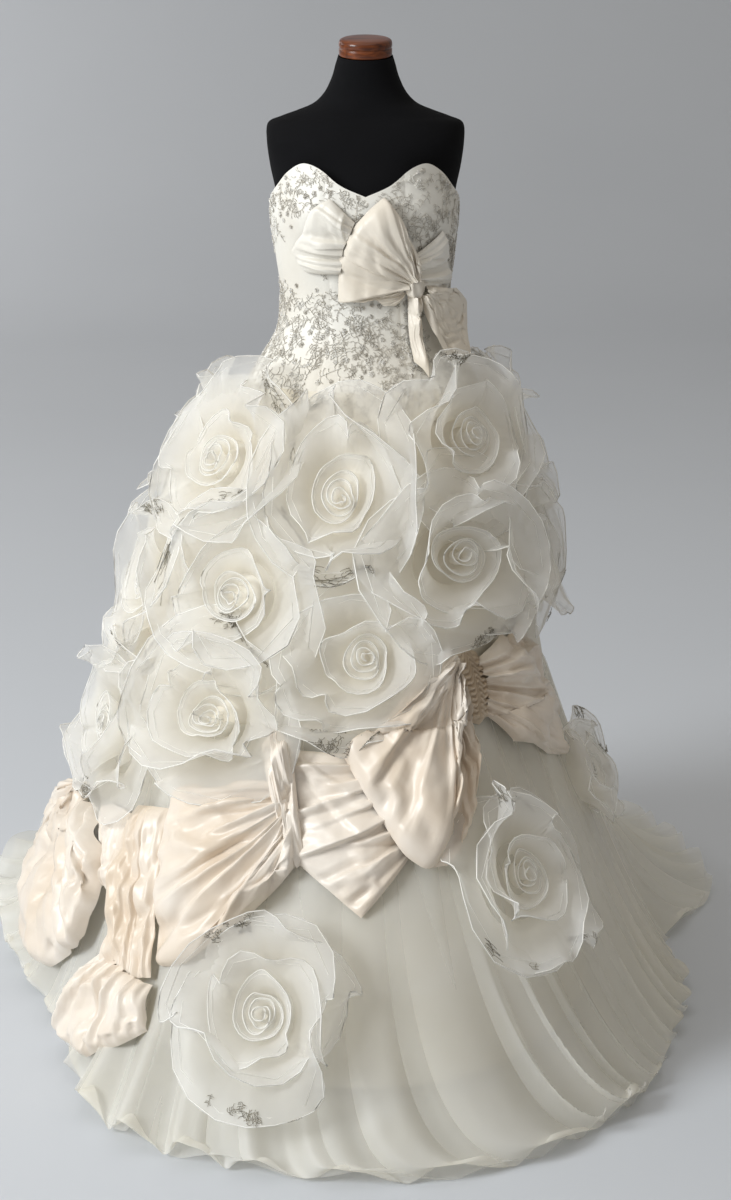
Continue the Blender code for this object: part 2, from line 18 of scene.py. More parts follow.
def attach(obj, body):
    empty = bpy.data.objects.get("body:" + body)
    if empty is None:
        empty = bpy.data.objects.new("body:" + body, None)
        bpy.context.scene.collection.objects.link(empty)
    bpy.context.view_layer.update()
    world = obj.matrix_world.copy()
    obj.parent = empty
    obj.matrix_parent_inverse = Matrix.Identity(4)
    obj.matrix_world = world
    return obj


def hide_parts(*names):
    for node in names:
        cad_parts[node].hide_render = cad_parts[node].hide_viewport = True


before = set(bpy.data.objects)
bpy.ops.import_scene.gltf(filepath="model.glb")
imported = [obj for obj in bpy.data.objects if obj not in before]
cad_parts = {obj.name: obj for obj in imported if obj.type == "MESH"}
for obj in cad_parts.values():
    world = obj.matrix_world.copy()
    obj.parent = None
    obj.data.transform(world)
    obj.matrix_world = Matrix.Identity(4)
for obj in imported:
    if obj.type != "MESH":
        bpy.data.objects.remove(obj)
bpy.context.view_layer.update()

# %% [markdown]
# ## The camera
# The photo looks slightly down on the dress from chest height. The lens and tilt were worked out
# from the round neck cap, the shoulders and the hem on the floor, so that sizes in metres fall
# where the picture shows them.

# %% Camera
camera_data = bpy.data.cameras.new("photo camera")
camera_data.sensor_fit = "VERTICAL"
camera_data.sensor_height = 36.0
camera_data.lens = 60.0
camera = bpy.data.objects.new("photo camera", camera_data)
camera.location = (0.0, -3.45, 1.70)
camera.rotation_euler = (math.radians(74.0), 0.0, 0.0)
bpy.context.scene.collection.objects.link(camera)
bpy.context.scene.camera = camera
print("lens in millimetres:", camera_data.lens)

# %% [markdown]
# ## The shape under every piece
# A place on the dress is an azimuth (degrees from the front, positive towards +X) and a height.
# A short table gives the gown's half-widths and half-depths at a few heights, and a smooth curve
# runs through each column. Everything that lies on the gown is made from these points moved out,
# so that layers follow each other as sewn cloth does.

# %% The gown's table and its skin
Ring = namedtuple("Ring", "height left right front back")
GOWN = [
    Ring(0.000, 0.530, 0.450, 0.560, 0.600),
    Ring(0.180, 0.510, 0.415, 0.520, 0.570),
    Ring(0.360, 0.490, 0.375, 0.470, 0.520),
    Ring(0.540, 0.445, 0.335, 0.415, 0.455),
    Ring(0.700, 0.388, 0.302, 0.365, 0.385),
    Ring(0.840, 0.342, 0.276, 0.320, 0.318),
    Ring(0.960, 0.292, 0.244, 0.266, 0.256),
    Ring(1.060, 0.234, 0.212, 0.202, 0.192),
    Ring(1.105, 0.207, 0.195, 0.170, 0.165),
    Ring(1.150, 0.181, 0.172, 0.140, 0.142),
    Ring(1.195, 0.154, 0.151, 0.118, 0.120),
    Ring(1.255, 0.146, 0.144, 0.110, 0.104),
    Ring(1.330, 0.154, 0.151, 0.124, 0.104),
    Ring(1.390, 0.161, 0.157, 0.134, 0.107),
    Ring(1.440, 0.161, 0.158, 0.128, 0.106),
    Ring(1.500, 0.160, 0.158, 0.122, 0.104),
]
WAIST_SEAM = 1.115
OVERSKIRT_TOP = 0.60
SEAM_GAP = 0.0003


def smooth(places, values, at):
    """A smooth curve through a table's values."""
    places = np.asarray(places, float)
    values = np.asarray(values, float)
    slope = np.gradient(values, places)
    at = np.clip(at, places[0], places[-1])
    i = np.clip(np.searchsorted(places, at) - 1, 0, len(places) - 2)
    step = places[i + 1] - places[i]
    t = (at - places[i]) / step
    start = (2 * t**3 - 3 * t**2 + 1) * values[i]
    end = (-2 * t**3 + 3 * t**2) * values[i + 1]
    lead = (t**3 - 2 * t**2 + t) * step * slope[i]
    trail = (t**3 - t**2) * step * slope[i + 1]
    return start + end + lead + trail


def column(table, name):
    return [getattr(row, name) for row in table]


def step_up(at, low, high):
    """0 below low, 1 above high, and an easy curve between."""
    t = np.clip((at - low) / (high - low), 0.0, 1.0)
    return t * t * (3.0 - 2.0 * t)


def gown_skin(azimuth, height):
    a = np.radians(azimuth)
    left, right, front, back = (
        smooth(column(GOWN, "height"), column(GOWN, side), height)
        for side in ("left", "right", "front", "back")
    )
    across = np.where(np.sin(a) > 0, right, left)
    deep = np.where(np.cos(a) > 0, front, back)
    return np.stack([across * np.sin(a), -deep * np.cos(a), height + 0.0 * a], -1)


def moved_out(skin, azimuth, height, out, step=(0.1, 0.001)):
    """Points of a skin moved along its outward direction."""
    along = skin(azimuth + step[0], height) - skin(azimuth - step[0], height)
    up = skin(azimuth, height + step[1]) - skin(azimuth, height - step[1])
    outward = np.cross(along, up)
    outward /= np.linalg.norm(outward, axis=-1, keepdims=True)
    return skin(azimuth, height) + outward * np.asarray(out)[..., None]


print("gown rings:", len(GOWN))

# %% [markdown]
# ## The overskirt's skin
# The organza overskirt leaves the gown under the roses and sweeps to the floor. Each gore is a
# simple curve with three handles: its seam, a knee where it would meet the floor, and its hem.
# The handles differ round the dress, which gives the widening front and the long train.

# %% Gores of the overskirt
Gore = namedtuple("Gore", "azimuth knee hem")
GORES = [
    Gore(-180, 0.66, 1.15),
    Gore(-150, 0.66, 1.04),
    Gore(-122, 0.64, 0.90),
    Gore(-98, 0.60, 0.71),
    Gore(-75, 0.57, 0.60),
    Gore(-60, 0.57, 0.60),
    Gore(-45, 0.62, 0.665),
    Gore(-33, 0.68, 0.74),
    Gore(-15, 0.70, 0.755),
    Gore(4, 0.71, 0.765),
    Gore(18, 0.70, 0.75),
    Gore(32, 0.66, 0.71),
    Gore(45, 0.62, 0.67),
    Gore(60, 0.575, 0.61),
    Gore(80, 0.54, 0.57),
    Gore(98, 0.54, 0.575),
    Gore(114, 0.57, 0.775),
    Gore(130, 0.61, 0.87),
    Gore(150, 0.64, 0.99),
    Gore(180, 0.66, 1.15),
]


def wrapped(degrees):
    return (degrees + 180.0) % 360.0 - 180.0


def overskirt_skin(azimuth, fall):
    """fall is 0 at the overskirt's top seam and 1 at its hem on the floor."""
    a = np.radians(azimuth)
    top = gown_skin(azimuth, OVERSKIRT_TOP + 0.0 * azimuth)
    away = np.stack([np.sin(a), -np.cos(a), 0.0 * a], -1)
    around = wrapped(azimuth)
    knee = away * smooth(column(GORES, "azimuth"), column(GORES, "knee"), around)[..., None]
    hem = away * smooth(column(GORES, "azimuth"), column(GORES, "hem"), around)[..., None]
    fall = fall[..., None]
    return (1 - fall) ** 2 * top + 2 * fall * (1 - fall) * knee + fall**2 * hem


def skirt_skin(azimuth, height):
    """What roses and swags lie on: the gown down to the overskirt's seam, then the overskirt."""
    fall = 1.0 - np.sqrt(np.clip(height, 0.0, OVERSKIRT_TOP) / OVERSKIRT_TOP)
    low = overskirt_skin(azimuth, fall)
    return np.where((height < OVERSKIRT_TOP)[..., None], low, gown_skin(azimuth, height))


def fold_depth(fall):
    return 0.001 + 0.026 * step_up(fall, 0.0, 0.9)


def clear_of_overskirt(height):
    fall = 1.0 - np.sqrt(np.clip(height, 0.0, OVERSKIRT_TOP) / OVERSKIRT_TOP)
    return np.where(height < OVERSKIRT_TOP + 0.01, 0.0030 + fold_depth(fall), 0.0001)


print("gores:", len(GORES))

# %% [markdown]
# ## One way to make a sheet of cloth
# A sheet is a grid whose points are moved by a formula of two shares, across and up. Its UV map
# is laid out in metres, measured along the cloth, so the weave keeps its real size and
# follows every fold. The size that each sheet was cut to is worked out, but not kept.

# %% Sheets
def mesh_of(name, points, faces, uv=None):
    mesh = bpy.data.meshes.new(name)
    mesh.from_pydata([tuple(p) for p in points], [], faces)
    if uv is not None:
        layer = mesh.uv_layers.new(name="cloth")
        corners = np.empty(len(mesh.loops), np.int32)
        mesh.loops.foreach_get("vertex_index", corners)
        layer.data.foreach_set("uv", uv[corners].astype(np.float32).ravel())
    mesh.polygons.foreach_set("use_smooth", [True] * len(mesh.polygons))
    obj = bpy.data.objects.new(name, mesh)
    bpy.context.scene.collection.objects.link(obj)
    return obj


def sheet_points(formula, columns, rows):
    across, up = np.meshgrid(np.linspace(0, 1, columns + 1), np.linspace(0, 1, rows + 1))
    return formula(across, up)


def sheet_from(name, points, finish):
    rows, columns = points.shape[0] - 1, points.shape[1] - 1
    flat = points.reshape(-1, 3)
    corner = (np.arange(rows)[:, None] * (columns + 1) + np.arange(columns)).ravel()
    faces = np.stack([corner, corner + 1, corner + columns + 2, corner + columns + 1], -1)
    run = np.linalg.norm(np.diff(points, axis=1), axis=-1).mean(0)
    rise = np.linalg.norm(np.diff(points, axis=0), axis=-1).mean(1)
    u, v = np.meshgrid(np.append(0, np.cumsum(run)), np.append(0, np.cumsum(rise)))
    piece = mesh_of(name, flat, faces.tolist(), np.stack([u.ravel(), v.ravel()], -1))
    piece.data.materials.append(finish)
    return piece


def sheet_of(name, formula, columns, rows, finish):
    points = sheet_points(formula, columns, rows)
    return sheet_from(name, points, finish), points


# A fan or a leaf fills at least this share of the rectangle that it is cut from
FAN_SHARE = 0.32


def declare(piece, nodes, points):
    """Hangs a sheet under the root and hides the solids it stands for. Its cut, the longest runs across and
    up the cloth, is worked out but not kept.
    """
    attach(piece, "root")
    if nodes:
        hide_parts(*nodes)
    wide = float(np.linalg.norm(np.diff(points, axis=1), axis=-1).sum(1).max())
    long = float(np.linalg.norm(np.diff(points, axis=0), axis=-1).sum(0).max())
    area = sum(face.area for face in piece.data.polygons)
    long = min(max(long, area / wide), area / wide / FAN_SHARE)


print("sheet makers:", sheet_of.__name__, sheet_from.__name__)

# %% [markdown]
# ## Finishes
# Three effects are shared by many cloths, so each is a node group: a fine weave (two crossed
# waves on the UV map, giving a height), a slow change of colour over the cloth, and the crisp
# crumple of taffeta. A painted image could do this too, but it would blur close up.

# %% Shared effects
def new_group(name, inputs, outputs):
    group = bpy.data.node_groups.new(name, "ShaderNodeTree")
    for label, kind, value in inputs:
        socket = group.interface.new_socket(label, in_out="INPUT", socket_type=kind)
        socket.default_value = value
    for label, kind in outputs:
        group.interface.new_socket(label, in_out="OUTPUT", socket_type=kind)
    return group, group.nodes.new("NodeGroupInput"), group.nodes.new("NodeGroupOutput")


def math_node(tree, operation, first, second=None):
    node = tree.nodes.new("ShaderNodeMath")
    node.operation = operation
    for socket, value in zip(node.inputs, (first, second)):
        if value is None:
            continue
        if isinstance(value, (int, float)):
            socket.default_value = value
        else:
            tree.links.new(value, socket)
    return node.outputs[0]


def ranged(tree, value, low, high, first=0.0, last=1.0):
    """Turns a value from low to high into one from first to last."""
    node = tree.nodes.new("ShaderNodeMapRange")
    for label, number in (("From Min", low), ("From Max", high), ("To Min", first), ("To Max", last)):
        node.inputs[label].default_value = number
    tree.links.new(value, node.inputs["Value"])
    return node.outputs["Result"]


def blended(tree, share, first, second):
    """A mix of two colours, each a socket or three numbers."""
    node = tree.nodes.new("ShaderNodeMix")
    node.data_type = "RGBA"
    tree.links.new(share, node.inputs[0])
    for socket, colour in ((node.inputs[6], first), (node.inputs[7], second)):
        if isinstance(colour, tuple):
            socket.default_value = (*colour, 1)
        else:
            tree.links.new(colour, socket)
    return node.outputs[2]


def weave_group():
    group, given, made = new_group(
        "fine weave",
        [("Threads per metre", "NodeSocketFloat", 900.0)],
        [("Height", "NodeSocketFloat")],
    )
    uv = group.nodes.new("ShaderNodeTexCoord")
    apart = group.nodes.new("ShaderNodeSeparateXYZ")
    group.links.new(uv.outputs["UV"], apart.inputs[0])
    turns = math_node(group, "MULTIPLY", given.outputs[0], 2 * math.pi)
    waves = [
        math_node(group, "SINE", math_node(group, "MULTIPLY", apart.outputs[axis], turns))
        for axis in ("X", "Y")
    ]
    height = math_node(group, "MULTIPLY", waves[0], waves[1])
    group.links.new(height, made.inputs[0])
    return group


def mottle_group():
    group, given, made = new_group(
        "slow change of colour",
        [
            ("Light", "NodeSocketColor", (1, 1, 1, 1)),
            ("Deep", "NodeSocketColor", (0.8, 0.8, 0.8, 1)),
            ("Size", "NodeSocketFloat", 6.0),
        ],
        [("Colour", "NodeSocketColor")],
    )
    place = group.nodes.new("ShaderNodeTexCoord")
    noise = group.nodes.new("ShaderNodeTexNoise")
    noise.inputs["Detail"].default_value = 4.0
    group.links.new(place.outputs["Object"], noise.inputs["Vector"])
    group.links.new(given.outputs["Size"], noise.inputs["Scale"])
    share = ranged(group, noise.outputs["Fac"], 0.35, 0.65)
    group.links.new(
        blended(group, share, given.outputs["Light"], given.outputs["Deep"]), made.inputs[0]
    )
    return group


def crumple_group():
    group, given, made = new_group(
        "crisp crumple", [("Size", "NodeSocketFloat", 14.0)], [("Height", "NodeSocketFloat")]
    )
    place = group.nodes.new("ShaderNodeTexCoord")
    ridges = group.nodes.new("ShaderNodeTexNoise")
    ridges.noise_type = "RIDGED_MULTIFRACTAL"
    ridges.inputs["Detail"].default_value = 2.5
    ridges.inputs["Distortion"].default_value = 0.6
    group.links.new(place.outputs["Object"], ridges.inputs["Vector"])
    group.links.new(given.outputs["Size"], ridges.inputs["Scale"])
    group.links.new(ridges.outputs["Fac"], made.inputs[0])
    return group


WEAVE, MOTTLE, CRUMPLE = weave_group(), mottle_group(), crumple_group()
print("shared effects:", [group.name for group in (WEAVE, MOTTLE, CRUMPLE)])

# %% [markdown]
# ## The cloths, the beads and the form's finishes
# Satin and taffeta are silky: fairly low roughness, and a colour that drifts between ivory and
# champagne. Threads and cords are plain, beads are small and bright, and the form is matt black
# cloth. All of them are one Principled shader with a few of the shared effects switched on.

# %% Finish maker
def add_group(tree, group, **values):
    node = tree.nodes.new("ShaderNodeGroup")
    node.node_tree = group
    for label, value in values.items():
        node.inputs[label.replace("_", " ")].default_value = value
    return node


def raise_cloth(tree, shader, height, distance, strength):
    """Adds a bump on top of the bumps that the shader already has."""
    bump = tree.nodes.new("ShaderNodeBump")
    bump.inputs["Distance"].default_value = distance
    bump.inputs["Strength"].default_value = strength
    tree.links.new(height, bump.inputs["Height"])
    for link in list(shader.inputs["Normal"].links):
        tree.links.new(link.from_socket, bump.inputs["Normal"])
    tree.links.new(bump.outputs[0], shader.inputs["Normal"])


def finish_of(name, light, deep, roughness, mottle=6.0, weave=900.0, weave_height=0.00005,
              crumple=None, crumple_height=0.0, sheen=0.0, metallic=0.0):
    material = bpy.data.materials.new(name)
    material.use_nodes = True
    tree = material.node_tree
    shader = tree.nodes["Principled BSDF"]
    colour = add_group(tree, MOTTLE, Light=(*light, 1), Deep=(*deep, 1), Size=mottle)
    tree.links.new(colour.outputs[0], shader.inputs["Base Color"])
    shader.inputs["Roughness"].default_value = roughness
    shader.inputs["Metallic"].default_value = metallic
    shader.inputs["Sheen Weight"].default_value = sheen
    shader.inputs["Sheen Roughness"].default_value = 0.4
    if weave:
        woven = add_group(tree, WEAVE, Threads_per_metre=weave)
        raise_cloth(tree, shader, woven.outputs[0], weave_height, 0.5)
    if crumple:
        creased = add_group(tree, CRUMPLE, Size=crumple)
        raise_cloth(tree, shader, creased.outputs[0], crumple_height, 0.8)
    return material


print("finish makers:", raise_cloth.__name__, finish_of.__name__)

# %% The finishes
BODICE_SATIN = finish_of("bodice satin", (0.84, 0.82, 0.76), (0.74, 0.70, 0.62), 0.48, sheen=0.2)
UNDER_SATIN = finish_of("underskirt satin", (0.80, 0.76, 0.67), (0.70, 0.64, 0.52), 0.50, mottle=5.0)
TAFFETA = finish_of(
    "champagne taffeta", (0.83, 0.76, 0.675), (0.70, 0.58, 0.45), 0.34, mottle=5.0,
    weave=700.0, weave_height=0.00003, crumple=24.0, crumple_height=0.0018,
)
BOW_SATIN = finish_of(
    "ivory bow satin", (0.80, 0.745, 0.66), (0.74, 0.67, 0.565), 0.40, mottle=5.0,
    weave=800.0, weave_height=0.00003, crumple=30.0, crumple_height=0.0006,
)
# A lighter copy of the bow satin for both fans of the bow: painted light, for the brightly lit left fan.
FAN_SATIN_PAINTED_LIGHT = finish_of(
    "fan satin in painted light", (0.84, 0.81, 0.75), (0.77, 0.73, 0.65), 0.42, mottle=5.0,
    weave=800.0, weave_height=0.00003,
)
# A darker, browner copy of the taffeta for the narrow gathered band: painted shade, as that band sits in
# shade.
GATHER_PAINTED_SHADE = finish_of(
    "gathered taffeta in painted shade", (0.70, 0.59, 0.46), (0.58, 0.46, 0.33), 0.45, mottle=9.0, weave=700.0,
    weave_height=0.00003,
)
CORD = finish_of("rolled edge", (0.93, 0.92, 0.88), (0.90, 0.88, 0.82), 0.35, weave=0)
THREAD = finish_of(
    "silver embroidery thread", (0.60, 0.56, 0.49), (0.38, 0.35, 0.30), 0.40, mottle=60.0,
    weave=0, metallic=0.2,
)
DARK_THREAD = finish_of(
    "dark embroidery thread", (0.26, 0.235, 0.18), (0.15, 0.135, 0.10), 0.45, mottle=60.0, weave=0,
)
BEAD = finish_of(
    "crystal and silver beads", (0.92, 0.90, 0.86), (0.58, 0.53, 0.44), 0.16, mottle=150.0,
    weave=0, metallic=0.15,
)
PEARL = finish_of("white lace cord", (0.90, 0.88, 0.84), (0.80, 0.78, 0.72), 0.35, mottle=60.0, weave=0)
BLACK_CLOTH = finish_of(
    "black jersey", (0.0045, 0.0045, 0.0055), (0.003, 0.003, 0.0035), 0.85, weave=700.0,
    weave_height=0.0002,
)
BLACK_CLOTH.node_tree.nodes["Principled BSDF"].inputs["Specular IOR Level"].default_value = 0.12
print("finishes:", len(bpy.data.materials))

# %% [markdown]
# ## Sheer cloth
# Organza lets some light straight through its holes and glows when it is lit from behind. So
# its finish mixes three shaders: Transparent for the holes, Translucent for the glow, and
# Principled for the threads. Alpha alone would leave the far side of every petal grey.

# %% Sheer finishes
def sheer_finish(name, light, deep, cover, glow, through, foot=None, cover_from=None, **creased):
    """cover is the share of threads. A strip can have a darker, warmer foot, which is painted shade for the
    depth of a rose, and a denser start at its bud.
    """
    material = finish_of(name, light, deep, 0.45, **creased)
    tree = material.node_tree
    shader = tree.nodes["Principled BSDF"]
    colour = shader.inputs["Base Color"].links[0].from_socket
    uv = tree.nodes.new("ShaderNodeTexCoord")
    apart = tree.nodes.new("ShaderNodeSeparateXYZ")
    tree.links.new(uv.outputs["UV"], apart.inputs[0])
    # The foot colour is painted shade: the strip turns darker and warmer towards its foot, deep in the rose.
    if foot:
        share = ranged(tree, apart.outputs["Y"], 0.002, 0.050)
        tree.links.new(blended(tree, share, foot, colour), shader.inputs["Base Color"])
    behind = tree.nodes.new("ShaderNodeBsdfTranslucent")
    behind.inputs["Color"].default_value = (*through, 1)
    tree.links.new(shader.inputs["Normal"].links[0].from_socket, behind.inputs["Normal"])
    cloth = tree.nodes.new("ShaderNodeMixShader")
    cloth.inputs[0].default_value = glow
    tree.links.new(shader.outputs[0], cloth.inputs[1])
    tree.links.new(behind.outputs[0], cloth.inputs[2])
    holes = tree.nodes.new("ShaderNodeBsdfTransparent")
    mixed = tree.nodes.new("ShaderNodeMixShader")
    mixed.inputs[0].default_value = cover
    if cover_from:
        tree.links.new(ranged(tree, apart.outputs["X"], 0.5, 1.4, cover_from, cover), mixed.inputs[0])
    tree.links.new(holes.outputs[0], mixed.inputs[1])
    tree.links.new(cloth.outputs[0], mixed.inputs[2])
    tree.links.new(mixed.outputs[0], tree.nodes["Material Output"].inputs["Surface"])
    return material


# The petals' foot colour is painted shade for the hollows of each rose.
PETAL = sheer_finish(
    "petal organza", (0.985, 0.985, 0.98), (0.975, 0.97, 0.955), 0.50, 0.52, (1.0, 0.98, 0.93),
    foot=(0.93, 0.89, 0.80), cover_from=0.66,
)
ORGANZA = sheer_finish(
    "sheer organza", (0.95, 0.945, 0.92), (0.90, 0.885, 0.83), 0.74, 0.42, (0.95, 0.90, 0.76),
    crumple=11.0, crumple_height=0.004,
)
TRAIN = sheer_finish(
    "train organza", (0.93, 0.92, 0.87), (0.88, 0.86, 0.79), 0.46, 0.42, (0.95, 0.90, 0.76),
)
VEIL = sheer_finish(
    "outer organza", (0.96, 0.955, 0.935), (0.93, 0.92, 0.88), 0.42, 0.42, (0.96, 0.93, 0.83),
    crumple=14.0, crumple_height=0.004,
)

print("sheer finishes:", [cloth.name for cloth in (PETAL, ORGANZA, TRAIN, VEIL)])

# %% [markdown]
# ## The dress form
# A real form is a moulded shell under stretched black cloth, with flat plates at the arms. A few
# sections carried smoothly up the body give that, and a second curve squares the shoulders.

# %% Torso
Section = namedtuple("Section", "height width front back shift square")
TORSO = [
    Section(0.980, 0.150, 0.115, 0.120, 0.0, 1.0),
    Section(1.060, 0.168, 0.130, 0.135, 0.0, 1.0),
    Section(1.130, 0.160, 0.123, 0.128, 0.0, 1.0),
    Section(1.190, 0.144, 0.108, 0.110, 0.0, 1.0),
    Section(1.250, 0.138, 0.100, 0.097, 0.0, 1.0),
    Section(1.330, 0.144, 0.112, 0.096, 0.0, 1.0),
    Section(1.390, 0.151, 0.122, 0.098, 0.0, 1.0),
    Section(1.430, 0.152, 0.116, 0.096, 0.0, 1.0),
    Section(1.475, 0.161, 0.098, 0.092, 0.0, 1.0),
    Section(1.515, 0.166, 0.084, 0.084, 0.0, 0.80),
    Section(1.545, 0.164, 0.070, 0.074, 0.0, 0.80),
    Section(1.556, 0.142, 0.064, 0.069, 0.0, 0.85),
    Section(1.566, 0.114, 0.060, 0.064, 0.001, 0.9),
    Section(1.578, 0.086, 0.056, 0.060, 0.002, 1.0),
    Section(1.596, 0.068, 0.051, 0.055, 0.004, 1.0),
    Section(1.620, 0.056, 0.048, 0.050, 0.008, 1.0),
    Section(1.640, 0.050, 0.046, 0.047, 0.012, 1.0),
    Section(1.654, 0.0455, 0.0445, 0.0445, 0.015, 1.0),
]
CAP_TILT = math.radians(10)


def torso_face(across, up):
    """The sections are evenly spread along up, so that the close ones at the neck stay smooth."""
    place = up * (len(TORSO) - 1)
    order = np.arange(len(TORSO))
    value = {
        name: smooth(order, column(TORSO, name), place)
        for name in ("height", "width", "front", "back", "shift", "square")
    }
    a = 2 * math.pi * across - math.pi
    sine = np.sign(np.sin(a)) * np.abs(np.sin(a)) ** value["square"]
    cosine = np.sign(np.cos(a)) * np.abs(np.cos(a)) ** value["square"]
    deep = np.where(cosine > 0, value["front"], value["back"])
    tilt = -math.tan(CAP_TILT) * step_up(value["height"], 1.60, 1.654) * deep * cosine
    return np.stack([value["width"] * sine, -deep * cosine - value["shift"], value["height"] + tilt], -1)


torso, _ = sheet_of("form_body", torso_face, 72, 90, BLACK_CLOTH)
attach(torso, "root")
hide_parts("form_torso")
print("torso points:", len(torso.data.vertices))

# %% [markdown]
# ## The neck cap
# It is a turned block of varnished wood with a fine groove. A turned profile is the natural way:
# the same few radii as in the solid, with rounder corners. Its grain is a stretched noise that
# feeds the colour, under a clear coat.

# %% Cap
Turn = namedtuple("Turn", "radius height")
CAP = [
    Turn(0.0000, 0.0000), Turn(0.0420, 0.0000), Turn(0.0437, 0.0006), Turn(0.0442, 0.0020),
    Turn(0.0442, 0.0108), Turn(0.0438, 0.0118), Turn(0.0430, 0.0125), Turn(0.0429, 0.0133),
    Turn(0.0430, 0.0140), Turn(0.0439, 0.0148), Turn(0.0444, 0.0158), Turn(0.0443, 0.0200),
    Turn(0.0440, 0.0222), Turn(0.0432, 0.0242), Turn(0.0416, 0.0257), Turn(0.0390, 0.0268),
    Turn(0.0350, 0.0275), Turn(0.0200, 0.0280), Turn(0.0000, 0.0281),
]


def wood_finish():
    material = bpy.data.materials.new("polished wood")
    material.use_nodes = True
    tree = material.node_tree
    shader = tree.nodes["Principled BSDF"]
    place = tree.nodes.new("ShaderNodeTexCoord")
    stretch = tree.nodes.new("ShaderNodeMapping")
    stretch.inputs["Scale"].default_value = (14.0, 120.0, 160.0)
    noise = tree.nodes.new("ShaderNodeTexNoise")
    noise.inputs["Scale"].default_value = 1.0
    noise.inputs["Detail"].default_value = 6.0
    noise.inputs["Distortion"].default_value = 0.8
    ramp = tree.nodes.new("ShaderNodeValToRGB")
    ramp.color_ramp.elements[0].color = (0.040, 0.0075, 0.002, 1)
    ramp.color_ramp.elements[0].position = 0.3
    ramp.color_ramp.elements[1].color = (0.21, 0.052, 0.010, 1)
    ramp.color_ramp.elements[1].position = 0.72
    tree.links.new(place.outputs["Object"], stretch.inputs["Vector"])
    tree.links.new(stretch.outputs[0], noise.inputs["Vector"])
    tree.links.new(noise.outputs["Fac"], ramp.inputs["Fac"])
    tree.links.new(ramp.outputs[0], shader.inputs["Base Color"])
    shader.inputs["Roughness"].default_value = 0.32
    shader.inputs["Coat Weight"].default_value = 0.25
    shader.inputs["Specular IOR Level"].default_value = 0.3
    shader.inputs["Coat Roughness"].default_value = 0.08
    return material


def cap_face(across, up):
    order = np.arange(len(CAP))
    radius = np.interp(up * (len(CAP) - 1), order, column(CAP, "radius"))
    height = np.interp(up * (len(CAP) - 1), order, column(CAP, "height"))
    a = 2 * math.pi * across - math.pi
    x, y = radius * np.sin(a), -radius * np.cos(a)
    top = TORSO[-1]
    return np.stack([
        x,
        y * math.cos(CAP_TILT) - height * math.sin(CAP_TILT) - top.shift,
        y * math.sin(CAP_TILT) + height * math.cos(CAP_TILT) + top.height + SEAM_GAP,
    ], -1)


cap, _ = sheet_of("neck_cap", cap_face, 72, len(CAP) - 1, wood_finish())
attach(cap, "root")
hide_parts("form_neck_cap")
print("cap radius:", max(column(CAP, "radius")))

# %% [markdown]
# ## The pole and the base
# The skirt hides both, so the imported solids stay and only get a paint.

# %% Pole and base
STAND_PAINT = finish_of(
    "grey stand paint", (0.17, 0.17, 0.175), (0.14, 0.14, 0.145), 0.38, mottle=30.0,
    weave=0, metallic=0.6,
)
for name in ("form_pole", "form_base"):
    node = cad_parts[name]
    node.data.materials.clear()
    node.data.materials.append(STAND_PAINT)
print("painted: form_pole and form_base")

# %% [markdown]
# ## The bodice
# Seven boned panels under lace, cut to a sweetheart line. The panels share one skin, with
# shallow dents along the seams, so that the surface reads as sewn.

# %% Bodice panels
Neckline = namedtuple("Neckline", "azimuth height")
NECKLINE = [
    Neckline(0, 1.432), Neckline(15, 1.450), Neckline(29, 1.477), Neckline(39, 1.484),
    Neckline(52, 1.471), Neckline(66, 1.446), Neckline(90, 1.421), Neckline(120, 1.396),
    Neckline(150, 1.388), Neckline(180, 1.385),
]
Panel = namedtuple("Panel", "name start end")
BODICE = [
    Panel("bodice_centre_front", -24, 24),
    Panel("bodice_side_front_right", 24, 75),
    Panel("bodice_side_right", 75, 125),
    Panel("bodice_back_right", 125, 180),
    Panel("bodice_back_left", -180, -125),
    Panel("bodice_side_left", -125, -75),
    Panel("bodice_side_front_left", -75, -24),
]


def neckline(azimuth):
    return smooth(column(NECKLINE, "azimuth"), column(NECKLINE, "height"), np.abs(wrapped(azimuth)))


def cups(azimuth, height):
    side = (np.abs(azimuth) - 38.0) / 22.0
    return 0.010 * np.exp(-(side**2) - ((height - 1.405) / 0.040) ** 2)


def body_skin(azimuth, height):
    return moved_out(gown_skin, azimuth, height, cups(azimuth, height))


def build_bodice():
    for panel in BODICE:
        def face(across, up, panel=panel):
            azimuth = panel.start + (panel.end - panel.start) * across
            height = WAIST_SEAM + (neckline(azimuth) - WAIST_SEAM) * up
            edge = np.minimum(across, 1 - across) * (panel.end - panel.start)
            dent = -0.0009 * np.exp(-((edge / 0.8) ** 2))
            return moved_out(gown_skin, azimuth, height, cups(azimuth, height) + dent)

        piece, points = sheet_of(panel.name + "_cloth", face, 24, 40, BODICE_SATIN)
        declare(piece, [panel.name], points)


build_bodice()
print("bodice panels:", len(BODICE))

# %% [markdown]
# ## The skirts
# The satin underskirt carries the shape. The organza overskirt is two sheer layers: the inner
# one keeps the broad folds of the solid, and the outer one has its own folds, so they show
# through each other in soft streaks, as real layers do.

# %% Underskirt
UNDERSKIRT_HEM = 0.035


def underskirt_face(across, up):
    azimuth = -180.0 + 360.0 * across
    height = UNDERSKIRT_HEM + (WAIST_SEAM - UNDERSKIRT_HEM) * up
    inset = 0.030 * step_up(-height, -0.62, -0.48)
    behind = step_up(np.abs(azimuth), 85.0, 110.0)
    turn = np.radians(azimuth)
    gathers = np.cos(46 * turn + 2.2 * np.sin(3 * turn)) + 0.5 * np.cos(29 * turn + 1.5 * np.sin(5 * turn))
    inset = inset - 0.0045 * behind * gathers * step_up(-height, -1.08, -0.75) * step_up(height, 0.56, 0.66)
    return moved_out(gown_skin, azimuth, height, -inset)


